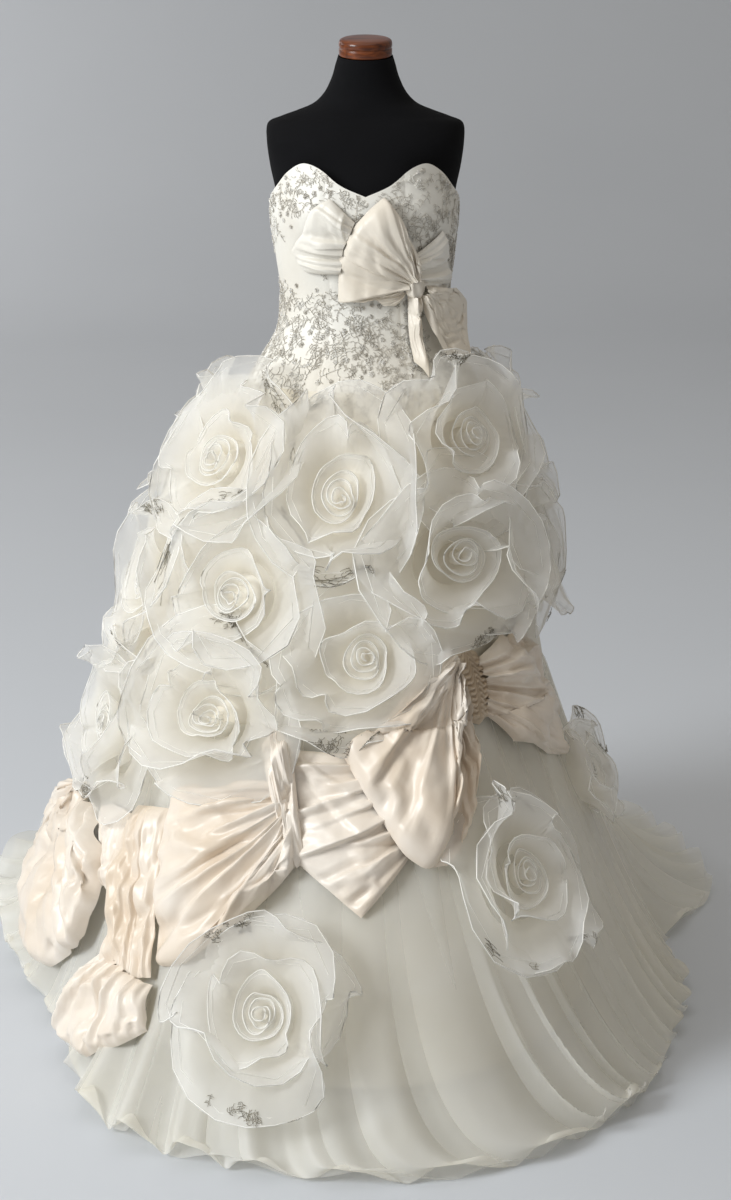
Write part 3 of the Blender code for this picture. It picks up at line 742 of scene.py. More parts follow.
underskirt, points = sheet_of("underskirt_cloth", underskirt_face, 320, 40, UNDER_SATIN)
declare(underskirt, ["underskirt"], points)
print("underskirt rows:", points.shape[0])

# %% [markdown]
# ### The sheer overskirt
# Even sines would look like a machine's pleats. Here the count of folds is warped round the
# skirt, each fold has its own depth, the round tops lean over their narrow valleys, and all of
# them drift sideways towards the hem, as hand-gathered organza does.

# %% Overskirt
Layer = namedtuple("Layer", "name start end node finish folds seed columns")
LAYERS = [
    Layer("overskirt_front_inner", -62, 62, "overskirt_front", ORGANZA, 34, 3, 260),
    Layer("overskirt_right_inner", 62, 112, "overskirt_right", ORGANZA, 34, 3, 90),
    Layer("overskirt_train_inner", 112, 248, "overskirt_train", TRAIN, 34, 3, 220),
    Layer("overskirt_left_inner", -112, -62, "overskirt_left", ORGANZA, 34, 3, 90),
    Layer("overskirt_outer", -180, 180, None, VEIL, 43, 5, 760),
]


INNER_FOLDS, OUTER_FOLDS = 0.052, 0.050
ABOVE_FLOOR = 0.0006


def broad_folds(azimuth):
    wave = np.cos(np.radians(azimuth * 18)) + 0.5 * np.cos(np.radians(azimuth * 7 + 40))
    return 0.5 + wave / 3.0


def soft_folds(azimuth, fall, count, seed):
    """Uneven rounded folds with narrow valleys between: their widths and depths all differ."""
    draw = np.random.default_rng(40 + seed)
    a = np.radians(azimuth)
    swept = 9.0 * np.exp(-(((wrapped(azimuth) - 22.0) / 26.0) ** 2))
    drift = (2.0 + 5.0 * np.sin(a + 0.4) + swept) * fall**2
    place = np.radians(azimuth - drift)
    warp = sum(draw.uniform(0.5, 1.3) * np.sin(k * place + draw.uniform(0, 6.3)) for k in (1, 2, 3, 5))
    deep = 0.65 + sum(
        draw.uniform(0.08, 0.22) * np.sin(k * place + draw.uniform(0, 6.3)) for k in (4, 7, 11)
    )
    phase = count * place + 2.0 * warp
    wave = (0.5 - 0.5 * np.cos(phase)) ** 0.7
    fine = 0.10 * np.sin(2 * phase + 2.6 * warp) * step_up(fall, 0.1, 0.8)
    deep = np.clip(deep, 0.25, 1.1)
    over = math.degrees(1.0 / count) * 0.85 * deep * np.sin(phase) * step_up(fall, 0.0, 0.7)
    return deep * (wave + fine), azimuth + over


def build_overskirt():
    """The inner layer in four panels, as the solids are, and one outer layer with a wavy hem."""
    for layer in LAYERS:
        def face(across, up, layer=layer):
            azimuth = layer.start + (layer.end - layer.start) * across
            fall = 0.001 + 0.998 * (1.0 - up)
            if layer.node:
                height, _ = soft_folds(azimuth, fall, layer.folds, layer.seed)
                out = 0.002 + 0.006 * fall * broad_folds(azimuth)
                out = out + INNER_FOLDS * step_up(fall, 0.12, 0.95) * height
            else:
                turn = np.radians(azimuth)
                fall = fall * (0.955 + 0.026 * np.sin(3 * turn + 0.6) + 0.012 * np.sin(11 * turn))
                height, azimuth = soft_folds(azimuth, fall, layer.folds, layer.seed)
                out = 0.002 + (0.003 + OUTER_FOLDS * step_up(fall, 0.12, 0.95)) * height
            points = moved_out(overskirt_skin, azimuth, fall, out, step=(0.1, -0.001))
            points[..., 2] = np.maximum(points[..., 2], ABOVE_FLOOR)
            return points

        piece, points = sheet_of(layer.name, face, layer.columns, 56, layer.finish)
        nodes = [layer.node] if layer.node else []
        declare(piece, nodes, points)


build_overskirt()
print("overskirt layers:", len(LAYERS))

# %% [markdown]
# ## The organza roses
# Each rose is one long, wide strip of organza with a corded edge, coiled round and sewn down
# along its foot. Modelling petals one by one would miss the spiral, so the strip is worked out
# turn by turn: the foot runs outwards, the strip gets wider, and it leans further over. Slow
# waves and scallops, different in every rose, give the petals.

# %% Rose table
Rose = namedtuple("Rose", "name azimuth height radius above below turn")
ROSES = [
    Rose("rose_front_left_top", -53.5, 0.993, 0.145, 0.125, 0.15, 200),
    Rose("rose_front_centre_top", -8.0, 0.965, 0.140, 0.15, 0.15, 60),
    Rose("rose_front_right_top", 41.5, 1.030, 0.140, 0.110, 0.15, 300),
    Rose("rose_front_left_upper", -33.5, 0.804, 0.140, 0.15, 0.15, 150),
    Rose("rose_front_right_upper", 28.5, 0.850, 0.150, 0.15, 0.15, 20),
    Rose("rose_right_upper", 67.0, 0.835, 0.140, 0.15, 0.15, 90),
    Rose("rose_front_centre_lower", -1.0, 0.708, 0.138, 0.15, 0.100, 250),
    Rose("rose_front_left_lower", -34.5, 0.606, 0.145, 0.15, 0.080, 110),
    Rose("rose_left_lower", -68.5, 0.535, 0.145, 0.15, 0.130, 10),
    Rose("rose_left_upper", -72.0, 0.770, 0.140, 0.15, 0.15, 320),
    Rose("rose_skirt_left", -14.5, 0.200, 0.140, 0.105, 0.14, 80),
    Rose("rose_skirt_right", 30.5, 0.360, 0.135, 0.125, 0.14, 180),
    Rose("rose_right_lower", 71.0, 0.430, 0.095, 0.10, 0.10, 40),
    Rose("rose_right_side", 103.0, 0.990, 0.140, 0.120, 0.15, 130),
    Rose("rose_left_side", -104.0, 0.975, 0.140, 0.135, 0.15, 260),
    Rose("rose_back_right", 128.0, 0.750, 0.145, 0.15, 0.15, 310),
    Rose("rose_back_left", -122.0, 0.690, 0.145, 0.15, 0.15, 70),
    Rose("rose_back_centre", 172.0, 0.925, 0.145, 0.15, 0.15, 0),
]
ROSE_TURNS = 7.4
# How wide and tall each rose opens beside its radius, and where its bud sits in it
Bloom = namedtuple("Bloom", "wide tall bud_x bud_y")
BLOOMS = {
    "rose_front_left_top": Bloom(1.12, 1.20, 0.00, -0.01),
    "rose_front_centre_top": Bloom(0.96, 1.28, 0.005, -0.02),
    "rose_front_right_top": Bloom(1.12, 1.12, 0.01, 0.00),
    "rose_front_left_upper": Bloom(1.10, 1.16, 0.00, -0.01),
    "rose_front_right_upper": Bloom(1.15, 1.08, 0.01, 0.01),
    "rose_right_upper": Bloom(1.05, 1.18, 0.00, 0.00),
    "rose_front_centre_lower": Bloom(1.04, 1.12, 0.01, 0.01),
    "rose_front_left_lower": Bloom(1.08, 1.14, 0.01, -0.01),
    "rose_left_lower": Bloom(1.08, 1.16, 0.00, -0.01),
    "rose_left_upper": Bloom(1.08, 1.20, 0.00, 0.00),
    "rose_skirt_left": Bloom(1.00, 1.22, 0.01, -0.005),
    "rose_skirt_right": Bloom(0.95, 1.25, 0.00, 0.005),
}
PLAIN_BLOOM = Bloom(1.10, 1.14, 0.0, 0.0)


def place_on(skin, spot, x, y, out, clear=clear_of_overskirt):
    """A place x to the side of a spot on the cloth, y above it and out from the cloth."""
    azimuth = np.full_like(x, spot[0])
    height = np.full_like(x, spot[1])
    wide = np.linalg.norm(skin(azimuth + 0.5, height) - skin(azimuth - 0.5, height), axis=-1)
    tall = np.linalg.norm(skin(azimuth, height + 0.005) - skin(azimuth, height - 0.005), axis=-1) / 0.01
    a = spot[0] + x / wide
    h = spot[1] + y / tall
    return moved_out(skin, a, h, out + clear(h))


print("places for roses:", len(ROSES))

# %% [markdown]
# ### The strip of one rose
# The strip starts upright at the bud, leans out further with every turn, and bends like a
# quarter of a circle from its foot to its rim. Sines that do not repeat together make the rim
# swing, frill and fold over itself, and a notch here and there parts one petal from the next.

# %% Rose strips
def rose_face(rose, number):
    """Gives the formula of a rose's strip: across runs from its bud outwards, up from foot to rim."""
    draw = np.random.default_rng(300 + number)
    size = rose.radius / 0.14
    bloom = BLOOMS.get(rose.name, PLAIN_BLOOM)
    phase = draw.uniform(0, 2 * math.pi, 8)
    lobes = draw.uniform(1.1, 1.45)
    pace = draw.uniform(0.9, 1.15, 4)

    def face(across, up):
        angle = -2.0 * math.pi * ROSE_TURNS * across + math.radians(rose.turn)
        grown = step_up(across, 0.42, 0.78)
        foot = size * (0.003 + 0.036 * across + 0.040 * step_up(across, 0.40, 1.05))
        width = size * (0.025 + 0.018 * across + 0.058 * grown)
        notch = (0.5 - 0.5 * np.cos(2.0 * lobes * angle + phase[0])) ** 2.0
        taper = np.clip((1.0 - across) / 0.035, 0.02, 1.0) ** 0.5
        width = width * (1.0 - (0.10 + 0.14 * grown) * notch) * taper
        swing = 0.75 * np.sin(1.7 * pace[0] * angle + phase[1])
        swing = swing + 0.45 * np.sin(2.9 * pace[1] * angle + phase[2])
        frill = np.sin(5.3 * pace[2] * angle + phase[3]) + 0.4 * np.sin(8.1 * pace[3] * angle + phase[4])
        lean_foot = np.radians(1.0 + 24.0 * across)
        waving = (12.0 + 28.0 * grown) * swing + 20.0 * grown * frill * up**2
        lean_rim = np.radians(12.0 + 72.0 * across**1.3 + waving)
        bend = lean_rim - lean_foot
        bend = np.where(np.abs(bend) < 1e-3, 1e-3, bend)
        out_by = width * (np.cos(lean_foot) - np.cos(lean_foot + bend * up)) / bend
        rise = width * (np.sin(lean_foot + bend * up) - np.sin(lean_foot)) / bend
        fold = np.sin(2.2 * pace[1] * angle + phase[5]) + 0.50 * np.sin(4.1 * pace[0] * angle + phase[6])
        gather = np.sin(37.0 * angle + 3.0 * fold) * up * (1.0 - up)
        turn = angle + (0.14 + 0.20 * grown) * fold * up**1.4
        rise = rise + 0.007 * grown * gather
        r = foot + out_by
        room = np.where(np.sin(turn) > 0, rose.above, rose.below) / np.maximum(np.abs(np.sin(turn)), 0.05)
        r = r * np.minimum(1.0, 0.50 + 0.50 * (room + 0.02) / (0.14 * size))
        settle = 1.0 - across
        x = bloom.wide * r * np.cos(turn) + bloom.bud_x * settle
        y = bloom.tall * r * np.sin(turn) + bloom.bud_y * settle
        lifted = 0.001 + 0.026 * size * (1.0 - across) ** 1.3 + np.maximum(rise, 0.0)
        return place_on(skirt_skin, (rose.azimuth, rose.height), x, y, lifted)

    return face


print("rose turns:", ROSE_TURNS)

# %% [markdown]
# ### Cords, threads and the finished roses
# The rim of each strip is rolled round a cord, and a line of stitches runs just inside it. A
# curve with a bevel could draw them, but there are thousands of threads on this dress, so all of
# one kind are joined in one mesh: a ring of three corners is carried along each line.

# %% Roses with their cords
def tube_along(name, lines, radius, sides, finish):
    """Round threads along many lines, joined in one mesh."""
    points, faces, first = [], [], 0
    turn = np.linspace(0, 2 * math.pi, sides, endpoint=False)
    for line in lines:
        line = np.asarray(line, float)
        run = np.gradient(line, axis=0)
        run /= np.maximum(np.linalg.norm(run, axis=1, keepdims=True), 1e-9)
        side = np.cross(run, (0.31, 0.17, 0.93))
        side /= np.maximum(np.linalg.norm(side, axis=1, keepdims=True), 1e-9)
        lift = np.cross(run, side)
        ring = np.cos(turn)[None, :, None] * side[:, None] + np.sin(turn)[None, :, None] * lift[:, None]
        points.append((line[:, None] + radius * ring).reshape(-1, 3))
        n = len(line)
        j = np.arange(sides)
        here = first + (np.arange(n - 1)[:, None] * sides + j).ravel()
        after = first + (np.arange(n - 1)[:, None] * sides + (j + 1) % sides).ravel()
        faces += np.stack([here, after, after + sides, here + sides], -1).tolist()
        faces.append((first + j[::-1]).tolist())
        faces.append((first + (n - 1) * sides + j).tolist())
        first += n * sides
    piece = mesh_of(name, np.concatenate(points), faces)
    piece.data.materials.append(finish)
    return piece


ROSE_STATIONS = 560
ROSE_ROWS = 9
PETAL_FACES = []


def build_roses():
    """One strip a rose, with a cord rolled into its rim and a row of stitches just inside it."""
    rims, hems = [], []
    for number, rose in enumerate(ROSES):
        face = rose_face(rose, number)
        piece, points = sheet_of(rose.name + "_strip", face, ROSE_STATIONS, ROSE_ROWS, PETAL)
        declare(piece, [rose.name], points)
        rims.append(points[-1][::2])
        hems.append(points[-2][::4])
        PETAL_FACES.append((face, points))
    for cords in (
        tube_along("rose_edge_cords", rims, 0.0010, 3, CORD),
        tube_along("rose_hem_stitches", hems, 0.00045, 3, CORD),
    ):
        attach(cords, "root")


build_roses()
print("roses:", len(ROSES))

# %% [markdown]
# ## Swags and bows
# Each is one gathered width of cloth between two edges: a short one at the knot and a long one
# outside. Folds start at the knot, spread, and die out, and no two are alike. The same maker
# does the taffeta swags on the skirt and the satin bow on the bodice.

# %% Loop tables
Loop = namedtuple("Loop", "name node inner outer lift puff ply folds cross hollow end")
SWAGS = [
    Loop("swag_left_cloth", "swag_left_loop",
         [(-12.5, 0.452), (-13.5, 0.470), (-14.5, 0.494), (-16, 0.522)],
         [(-12, 0.408), (-15.5, 0.367), (-20, 0.322), (-25, 0.280), (-29, 0.240), (-34, 0.225),
          (-36.5, 0.300), (-39.5, 0.390), (-40.5, 0.480), (-31, 0.500), (-22, 0.522)],
         0.0030, 0.034, 0.0065, 9, 0, 0.0, 0.003),
    Loop("swag_centre_band", "swag_centre_loop",
         [(10, 0.428), (9, 0.475), (6, 0.525), (0, 0.570)],
         [(-0.5, 0.337), (-6, 0.374), (-12, 0.410), (-14.5, 0.470), (-17, 0.572)],
         0.0030, 0.016, 0.0060, 6, 0, 0.0, 0.003),
    Loop("swag_centre_strap", None,
         [(-15, 0.580), (-18, 0.597), (-21.5, 0.572)],
         [(-10.5, 0.415), (-12, 0.402), (-13.8, 0.424)],
         0.0200, 0.022, 0.0040, 2, 0, 0.0, 0.003),
    Loop("swag_right_under", None,
         [(29.5, 0.650), (27.5, 0.664), (25, 0.660)],
         [(30, 0.590), (28, 0.515), (23, 0.455), (16.5, 0.402), (12, 0.402)],
         0.0030, 0.022, 0.0050, 4, 0, 0.0, 0.003),
    Loop("swag_right_cloth", "swag_right_loop",
         [(27, 0.690), (25, 0.702), (22, 0.700)],
         [(25.5, 0.620), (22, 0.540), (18, 0.470), (15, 0.412), (12, 0.396), (7.5, 0.422), (2.5, 0.484),
          (-0.5, 0.514), (-5, 0.572), (3, 0.608), (12, 0.662)],
         0.0140, 0.034, 0.0060, 8, 0, 0.0, 0.020),
    Loop("swag_right_roll", None,
         [(26.5, 0.700), (26, 0.708), (25, 0.716)],
         [(20, 0.610), (16, 0.618), (12.5, 0.650), (12.0, 0.696), (18, 0.715)],
         0.0260, 0.024, 0.0030, 2, 0, 0.0, 0.003),
    Loop("bow_skirt_gather_cloth", "bow_skirt_gather",
         [(36, 0.706), (31, 0.718), (26, 0.706)],
         [(37, 0.600), (34, 0.590), (30.5, 0.600)],
         0.0060, 0.016, 0.0080, 0, 13, 0.0, 0.003),
    Loop("bow_skirt_under", None,
         [(45, 0.700), (45, 0.620), (44, 0.570)],
         [(60, 0.730), (70, 0.665), (73, 0.560), (66, 0.478), (56, 0.505)],
         0.0030, 0.012, 0.0040, 3, 0, 0.0, 0.003),
    Loop("bow_skirt_loop_cloth", "bow_skirt_loop",
         [(34.6, 0.692), (35.0, 0.650), (35.6, 0.606)],
         [(45, 0.726), (54, 0.672), (59, 0.600), (52, 0.526), (41, 0.552)],
         0.0080, 0.030, 0.0060, 8, 0, 0.0, 0.018),
    Loop("side_swag_cloth", "side_swag",
         [(-72, 0.368), (-78, 0.385), (-85, 0.375)],
         [(-61, 0.317), (-57, 0.240), (-60, 0.160), (-74, 0.058), (-88, 0.050), (-98, 0.110),
          (-105, 0.240), (-97, 0.335)],
         0.0030, 0.046, 0.0080, 11, 2, 0.0, 0.003),
    Loop("side_panel_cloth", "side_panel",
         [(-63, 0.292), (-59, 0.276), (-55.0, 0.262)],
         [(-72, 0.372), (-66, 0.392), (-57, 0.407), (-52, 0.402)],
         0.0026, 0.010, 0.0035, 4, 0, 0.0, 0.003),
    Loop("front_panel_cloth", "front_panel",
         [(-49, 0.172), (-41, 0.178), (-34, 0.208)],
         [(-53, 0.425), (-47, 0.438), (-41, 0.448)],
         0.0030, 0.014, 0.0040, 6, 4, 0.0, 0.003),
    Loop("lower_ruche_cloth", "lower_ruche",
         [(-33, 0.200), (-41, 0.196), (-50, 0.190)],
         [(-31.5, 0.140), (-36, 0.100), (-43, 0.045), (-53, 0.020), (-57.5, 0.062)],
         0.0030, 0.030, 0.0060, 6, 1, 0.030, 0.003),
]
BOW = [
    Loop("bow_left_fan_cloth", "bow_left_fan",
         [(-15, 1.306), (-13, 1.350), (-6, 1.392)],
         [(-40, 1.306), (-51, 1.342), (-39, 1.372), (-31, 1.410), (-20, 1.428)],
         0.0030, 0.007, 0.0036, 9, 0, 0.0, 0.003),
    Loop("bow_right_fan_cloth", "bow_right_fan",
         [(30, 1.335), (32, 1.305), (34, 1.285)],
         [(52, 1.376), (59, 1.350), (66, 1.305), (72, 1.262)],
         0.0030, 0.006, 0.0040, 7, 0, 0.0, 0.003),
    Loop("bow_corner_cloth", "bow_corner_loop",
         [(27, 1.280), (26, 1.287), (27, 1.294)],
         [(8, 1.264), (-5, 1.259), (-17.5, 1.259), (-16.8, 1.330), (-9, 1.372)],
         0.0040, 0.014, 0.0026, 5, 0, 0.0, 0.003),
    Loop("bow_leaf_cloth", "bow_leaf_loop",
         [(27, 1.292), (30, 1.302), (33, 1.302)],
         [(-4, 1.310), (-14, 1.343), (-7, 1.385), (2, 1.411), (11, 1.432), (20, 1.402), (28.5, 1.357),
          (32, 1.322)],
         0.0060, 0.020, 0.0036, 9, 0, 0.0, 0.003),
    Loop("bow_right_loop_cloth", "bow_right_loop",
         [(39, 1.288), (38, 1.278), (36, 1.272)],
         [(60, 1.283), (78, 1.248), (76, 1.212), (64, 1.152), (44, 1.148)],
         0.0040, 0.024, 0.0045, 5, 0, 0.0, 0.041),
    Loop("bow_tail_cloth", "bow_tail",
         [(36, 1.272), (32, 1.270), (28, 1.272)],
         [(38, 1.165), (34.5, 1.130), (28.5, 1.160)],
         0.0060, 0.010, 0.0040, 3, 0, 0.0, 0.003),
    Loop("bow_small_loop_cloth", "bow_small_loop",
         [(27, 1.274), (25, 1.276), (24, 1.281)],
         [(20, 1.252), (12, 1.252), (7, 1.262), (12, 1.276)],
         0.0040, 0.008, 0.0015, 2, 0, 0.0, 0.003),
]
KNOT = (31.5, 1.2855)
KNOT_HALF = (0.0160, 0.0175, 0.0125)

print("swags and loops in the tables:", len(SWAGS), len(BOW))

# %% [markdown]
# ### The folds of one loop
# A loop is drawn between two lines: its gathered edge and its open edge. Folds start at the
# gathered edge, are steep on one side and gentle on the other, and die out at different
# lengths. Short creases cross them. Both have crisp tops, which is what makes it taffeta.

# %% Folds of one loop
FOLDS_FOR_EACH = 1.3


def along(points, s):
    """A line with the corners only just rounded, as pressed cloth has."""
    points = np.array(points, float)
    steps = np.diff(points, axis=0) * np.array([0.004, 1.0])
    length = np.concatenate([[0.0], np.cumsum(np.linalg.norm(steps, axis=1))])
    length /= length[-1]
    spread = np.linspace(-0.018, 0.018, 7)
    places = np.clip(s[..., None] + spread, 0.0, 1.0)
    return tuple(np.interp(places, length, points[:, axis]).mean(-1) for axis in (0, 1))


def tent(distance, left, right):
    """A crisp crease: 1 on its line and 0 a little to either side, steeper on one side."""
    return np.maximum(0.0, 1.0 - np.abs(distance) / np.where(distance < 0, left, right))


def loop_face(loop, number, skin, clear):
    """Gives a loop's formula: folds that fan out from its gathered edge, and short creases."""
    draw = np.random.default_rng(700 + number)
    inner = skin(*np.array(loop.inner, float).T)
    outer = skin(*np.array(loop.outer, float).T)
    inner_run = np.linalg.norm(np.diff(inner, axis=0), axis=1).sum()
    outer_run = np.linalg.norm(np.diff(outer, axis=0), axis=1).sum()
    drop = np.linalg.norm(outer.mean(0) - inner.mean(0))
    count = int(FOLDS_FOR_EACH * loop.folds)
    at = (np.arange(count) + draw.uniform(0.05, 0.95, count)) / count
    steep = draw.uniform(0.003, 0.009, count)
    gentle = draw.uniform(0.018, 0.065, count)
    side = draw.choice([-1.0, 1.0], count)
    deep = draw.uniform(0.35, 1.0, count)
    ends = draw.uniform(0.55, 1.7, count)
    drift = draw.uniform(-0.10, 0.10, count)
    creases = 0 if loop.cross >= 10 else int(7 + 230 * outer_run * drop)
    crease_at = draw.uniform(0.05, 0.95, (creases, 2))
    crease_turn = draw.normal(0.9, 0.5, creases)
    crease_long = np.minimum(draw.uniform(0.03, 0.11, creases), 0.5 * drop)
    crease_wide = draw.uniform(0.03, 0.13, creases) * min(0.2, drop)
    crease_high = draw.uniform(-0.065, 0.085, creases) * min(0.2, drop)

    def face(across, up):
        inner_azimuth, inner_height = along(loop.inner, across)
        outer_azimuth, outer_height = along(loop.outer, across)
        azimuth = inner_azimuth + (outer_azimuth - inner_azimuth) * up
        height = inner_height + (outer_height - inner_height) * up
        local_run = inner_run + (outer_run - inner_run) * up
        arch = step_up(up, -0.25, 0.55) * (1.0 - up**7) ** 0.6
        rim = (1.0 - np.abs(2.0 * across - 1.0) ** 6) ** 0.6
        out = loop.lift + (loop.end - loop.lift) * up + loop.puff * arch * (0.20 + 0.80 * rim)
        folded = np.zeros_like(across)
        for i in range(count):
            distance = side[i] * (across - at[i] - drift[i] * up) * local_run
            spread = 0.35 + 0.9 * up
            fade = np.clip(1.6 * (1.0 - up / ends[i]), 0.0, 1.0)
            folded += deep[i] * fade * tent(distance, steep[i] * spread, gentle[i] * spread)
        out = out + 2.5 * loop.ply * folded * (0.25 + 0.75 * rim)
        x, y = across * 0.5 * (inner_run + outer_run), up * drop
        for i in range(creases):
            dx = x - crease_at[i, 0] * 0.5 * (inner_run + outer_run)
            dy = y - crease_at[i, 1] * drop
            length = (dx * math.cos(crease_turn[i]) + dy * math.sin(crease_turn[i])) / crease_long[i]
            away = -dx * math.sin(crease_turn[i]) + dy * math.cos(crease_turn[i])
            crease = tent(away, crease_wide[i], 2.6 * crease_wide[i]) * np.exp(-(length**2))
            out = out + crease_high[i] * crease * rim
        if loop.cross:
            wander = 0.10 * np.sin(5.0 * across + number) + 0.04 * np.sin(17.0 * across)
            waves = np.abs(np.sin(math.pi * (loop.cross * (up + wander) + 0.3)))
            out = out + 1.5 * loop.ply * waves * np.sin(math.pi * up) ** 0.5
        hole = np.exp(-(((across - 0.5) / 0.16) ** 2) - ((up - 0.5) / 0.18) ** 2)
        out = np.maximum(out - loop.hollow * hole, 0.002)
        under = moved_out(skin, azimuth, height, 0.0015 + clear(height))
        return under, moved_out(skin, azimuth, height, out + clear(height))

    return face


print("folds in the swags:", sum(int(FOLDS_FOR_EACH * loop.folds) for loop in SWAGS))

# %% [markdown]
# ## How crushed cloth settles
# Taffeta that is gathered into less room than it was cut for buckles into crisp, uneven folds.
# Here each loop is a grid of points. Neighbours keep the distance that they were cut to, a few
# per cent too long, and no point may sink into what lies under it. Moving the points until both
# hold lets the folds come by themselves, while the sewn edges stay where they are. Blender's Cloth
# with pinned edges is the other way. This one needs no frames to be played and always ends alike.

# %% Settling a grid of points
def neighbours(down, right):
    """Index pairs of a grid that lie (down, right) apart, in two turns that never share a point."""
    pairs = []
    for turn in (0, 1):
        if right:
            first = (slice(0, -down or None), slice(turn, -right, 2 * right))
            second = (slice(down, None), slice(turn + right, None, 2 * right))
        else:
            first = (slice(turn, -down, 2 * down), slice(None))
            second = (slice(turn + down, None, 2 * down), slice(None))
        pairs.append((first, second))
    return pairs


def settle(points, under, free, spare_across, spare_up, high, rounds, soften):
    """Lets a sheet that is cut too big for its place buckle, as crushed taffeta does."""
    outward = points - under
    outward /= np.maximum(np.linalg.norm(outward, axis=-1, keepdims=True), 1e-9)
    points = points.copy()
    rests = []
    for down, right, spare in ((0, 1, spare_across), (1, 0, spare_up), (1, 1, None)):
        rest = np.zeros(points.shape[:2])
        a = points[: points.shape[0] - down, : points.shape[1] - right]
        b = points[down:, right:]
        rest[: a.shape[0], : a.shape[1]] = np.linalg.norm(b - a, axis=-1) * (
            spare or 0.5 * (spare_across + spare_up)
        )
        for first, second in neighbours(down, right):
            f = points[first].shape[:2]
            g = points[second].shape[:2]
            keep = (min(f[0], g[0]), min(f[1], g[1]))
            rests.append((first, second, keep, rest, 0.9 if spare else 0.35))
    for _ in range(rounds):
        for first, second, keep, rest, strength in rests:
            a = points[first][: keep[0], : keep[1]]
            b = points[second][: keep[0], : keep[1]]
            fa = free[first][: keep[0], : keep[1]]
            fb = free[second][: keep[0], : keep[1]]
            apart = b - a
            length = np.linalg.norm(apart, axis=-1)
            goal = rest[first][: keep[0], : keep[1]]
            move = strength * (length - goal) / np.maximum(length * (fa + fb), 1e-6)
            a += (fa * move)[..., None] * apart
            b -= (fb * move)[..., None] * apart
        middle = points[1:-1, 1:-1]
        around = (points[:-2, 1:-1] + points[2:, 1:-1] + points[1:-1, :-2] + points[1:-1, 2:]) / 4.0
        middle += soften * free[1:-1, 1:-1, None] * (around - middle)
        rise = ((points - under) * outward).sum(-1)
        points += (np.clip(rise, 0.0, high) - rise)[..., None] * outward
    return points


def finer(coarse, shape):
    """A coarse grid of moves spread over a grid with twice as many steps."""
    full = np.zeros(shape + (3,))
    full[::2, ::2] = coarse
    full[::2, 1::2] = 0.5 * (coarse[:, :-1] + coarse[:, 1:])
    full[1::2] = 0.5 * (full[:-1:2] + full[2::2])
    return full


# Coarse to fine: the step between the points used, the rounds, the softening, the share of spare cloth
PASSES = [(4, 90, 0.015, 1.0), (2, 50, 0.02, 0.15), (1, 24, 0.02, 0.15)]


def crushed(under, points, spare_across, spare_up, high):
    """Settles a sheet three times, on an ever finer grid, so that big folds come first."""
    moved = None
    for stride, rounds, soften, share in PASSES:
        start, floor = points[::stride, ::stride], under[::stride, ::stride]
        if moved is not None:
            start = start + finer(moved, start.shape[:2])
        free = np.ones(start.shape[:2])
        free[0] = free[-1] = 0.0
        free[:, 0] = free[:, -1] = 0.0
        cut_across = 1.0 + (spare_across - 1.0) * share
        cut_up = 1.0 + (spare_up - 1.0) * share
        done = settle(start, floor, free, cut_across, cut_up, high, rounds, soften)
        moved = done - points[::stride, ::stride]
    return done


print("settling passes:", len(PASSES))

# %% Loops of cloth
def build_loops(loops, skin, finish, clear, first, grid, spare, high):
    for number, loop in enumerate(loops):
        face = loop_face(loop, first + number, skin, clear)
        under, points = sheet_points(face, *grid)
        if loop.cross < 10:
            points = crushed(under, points, *spare, high)
        # The fans' lighter satin is painted light.
        # The gathered band's darker taffeta is painted shade.
        look = GATHER_PAINTED_SHADE if loop.cross >= 10 else FAN_SATIN_PAINTED_LIGHT if "_fan_" in loop.name else finish
        piece = sheet_from(loop.name, points, look)
        declare(piece, [loop.node] if loop.node else [], points)


build_loops(
    SWAGS, skirt_skin, TAFFETA, clear_of_overskirt, 0,
    (104, 56), (1.09, 1.015), 0.062,
)
build_loops(
    BOW, body_skin, BOW_SATIN, lambda height: 0.0 * height, 50,
    (88, 48), (1.04, 1.01), 0.032,
)

print("loops:", len(BOW) + len(SWAGS))

# %% [markdown]
# ### The knot
# The knot is a short wrap of satin round the bow's middle: a squarish ball with a few ridges,
# which is simpler and cleaner here than a folded strip.

# %% Knot of the bow
def knot_face(across, up):
    a = 2 * math.pi * across
    b = math.pi * (up - 0.5)
    wrap = 1.0 + 0.10 * np.sin(9.0 * np.cos(a) + 2.0 * np.sin(b)) * np.cos(b)
    square = np.sign(np.cos(a)) * np.abs(np.cos(a)) ** 0.6
    local = np.stack([
        KNOT_HALF[0] * wrap * np.cos(b) ** 0.6 * square,
        KNOT_HALF[2] * wrap * np.cos(b) ** 0.6 * np.sin(a),
        KNOT_HALF[1] * (np.sign(b) * np.abs(np.sin(b)) ** 0.7 + 0.08 * np.cos(2.0 * a)),
    ], -1)
    turn = np.array(Matrix.Rotation(math.radians(KNOT[0]), 3, "Z"))
    lift = np.array([0.0010 + KNOT_HALF[2]])
    middle = moved_out(body_skin, np.array([KNOT[0]]), np.array([KNOT[1]]), lift)[0]
    return local @ turn.T + middle


knot, _ = sheet_of("bow_knot_cloth", knot_face, 40, 24, BOW_SATIN)
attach(knot, "root")
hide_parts("bow_knot")
print("knot width:", 2 * KNOT_HALF[0])

# %% [markdown]
# ## Beaded lace
# Coral-like sprigs of silver thread and small beads crowd the neckline and the hips and thin out
# between. Each sprig is drawn as a stem with twigs and laid on the bodice, and all threads or
# beads of one kind are joined in one mesh. A texture would be lighter, but the beads would not
# catch the light.

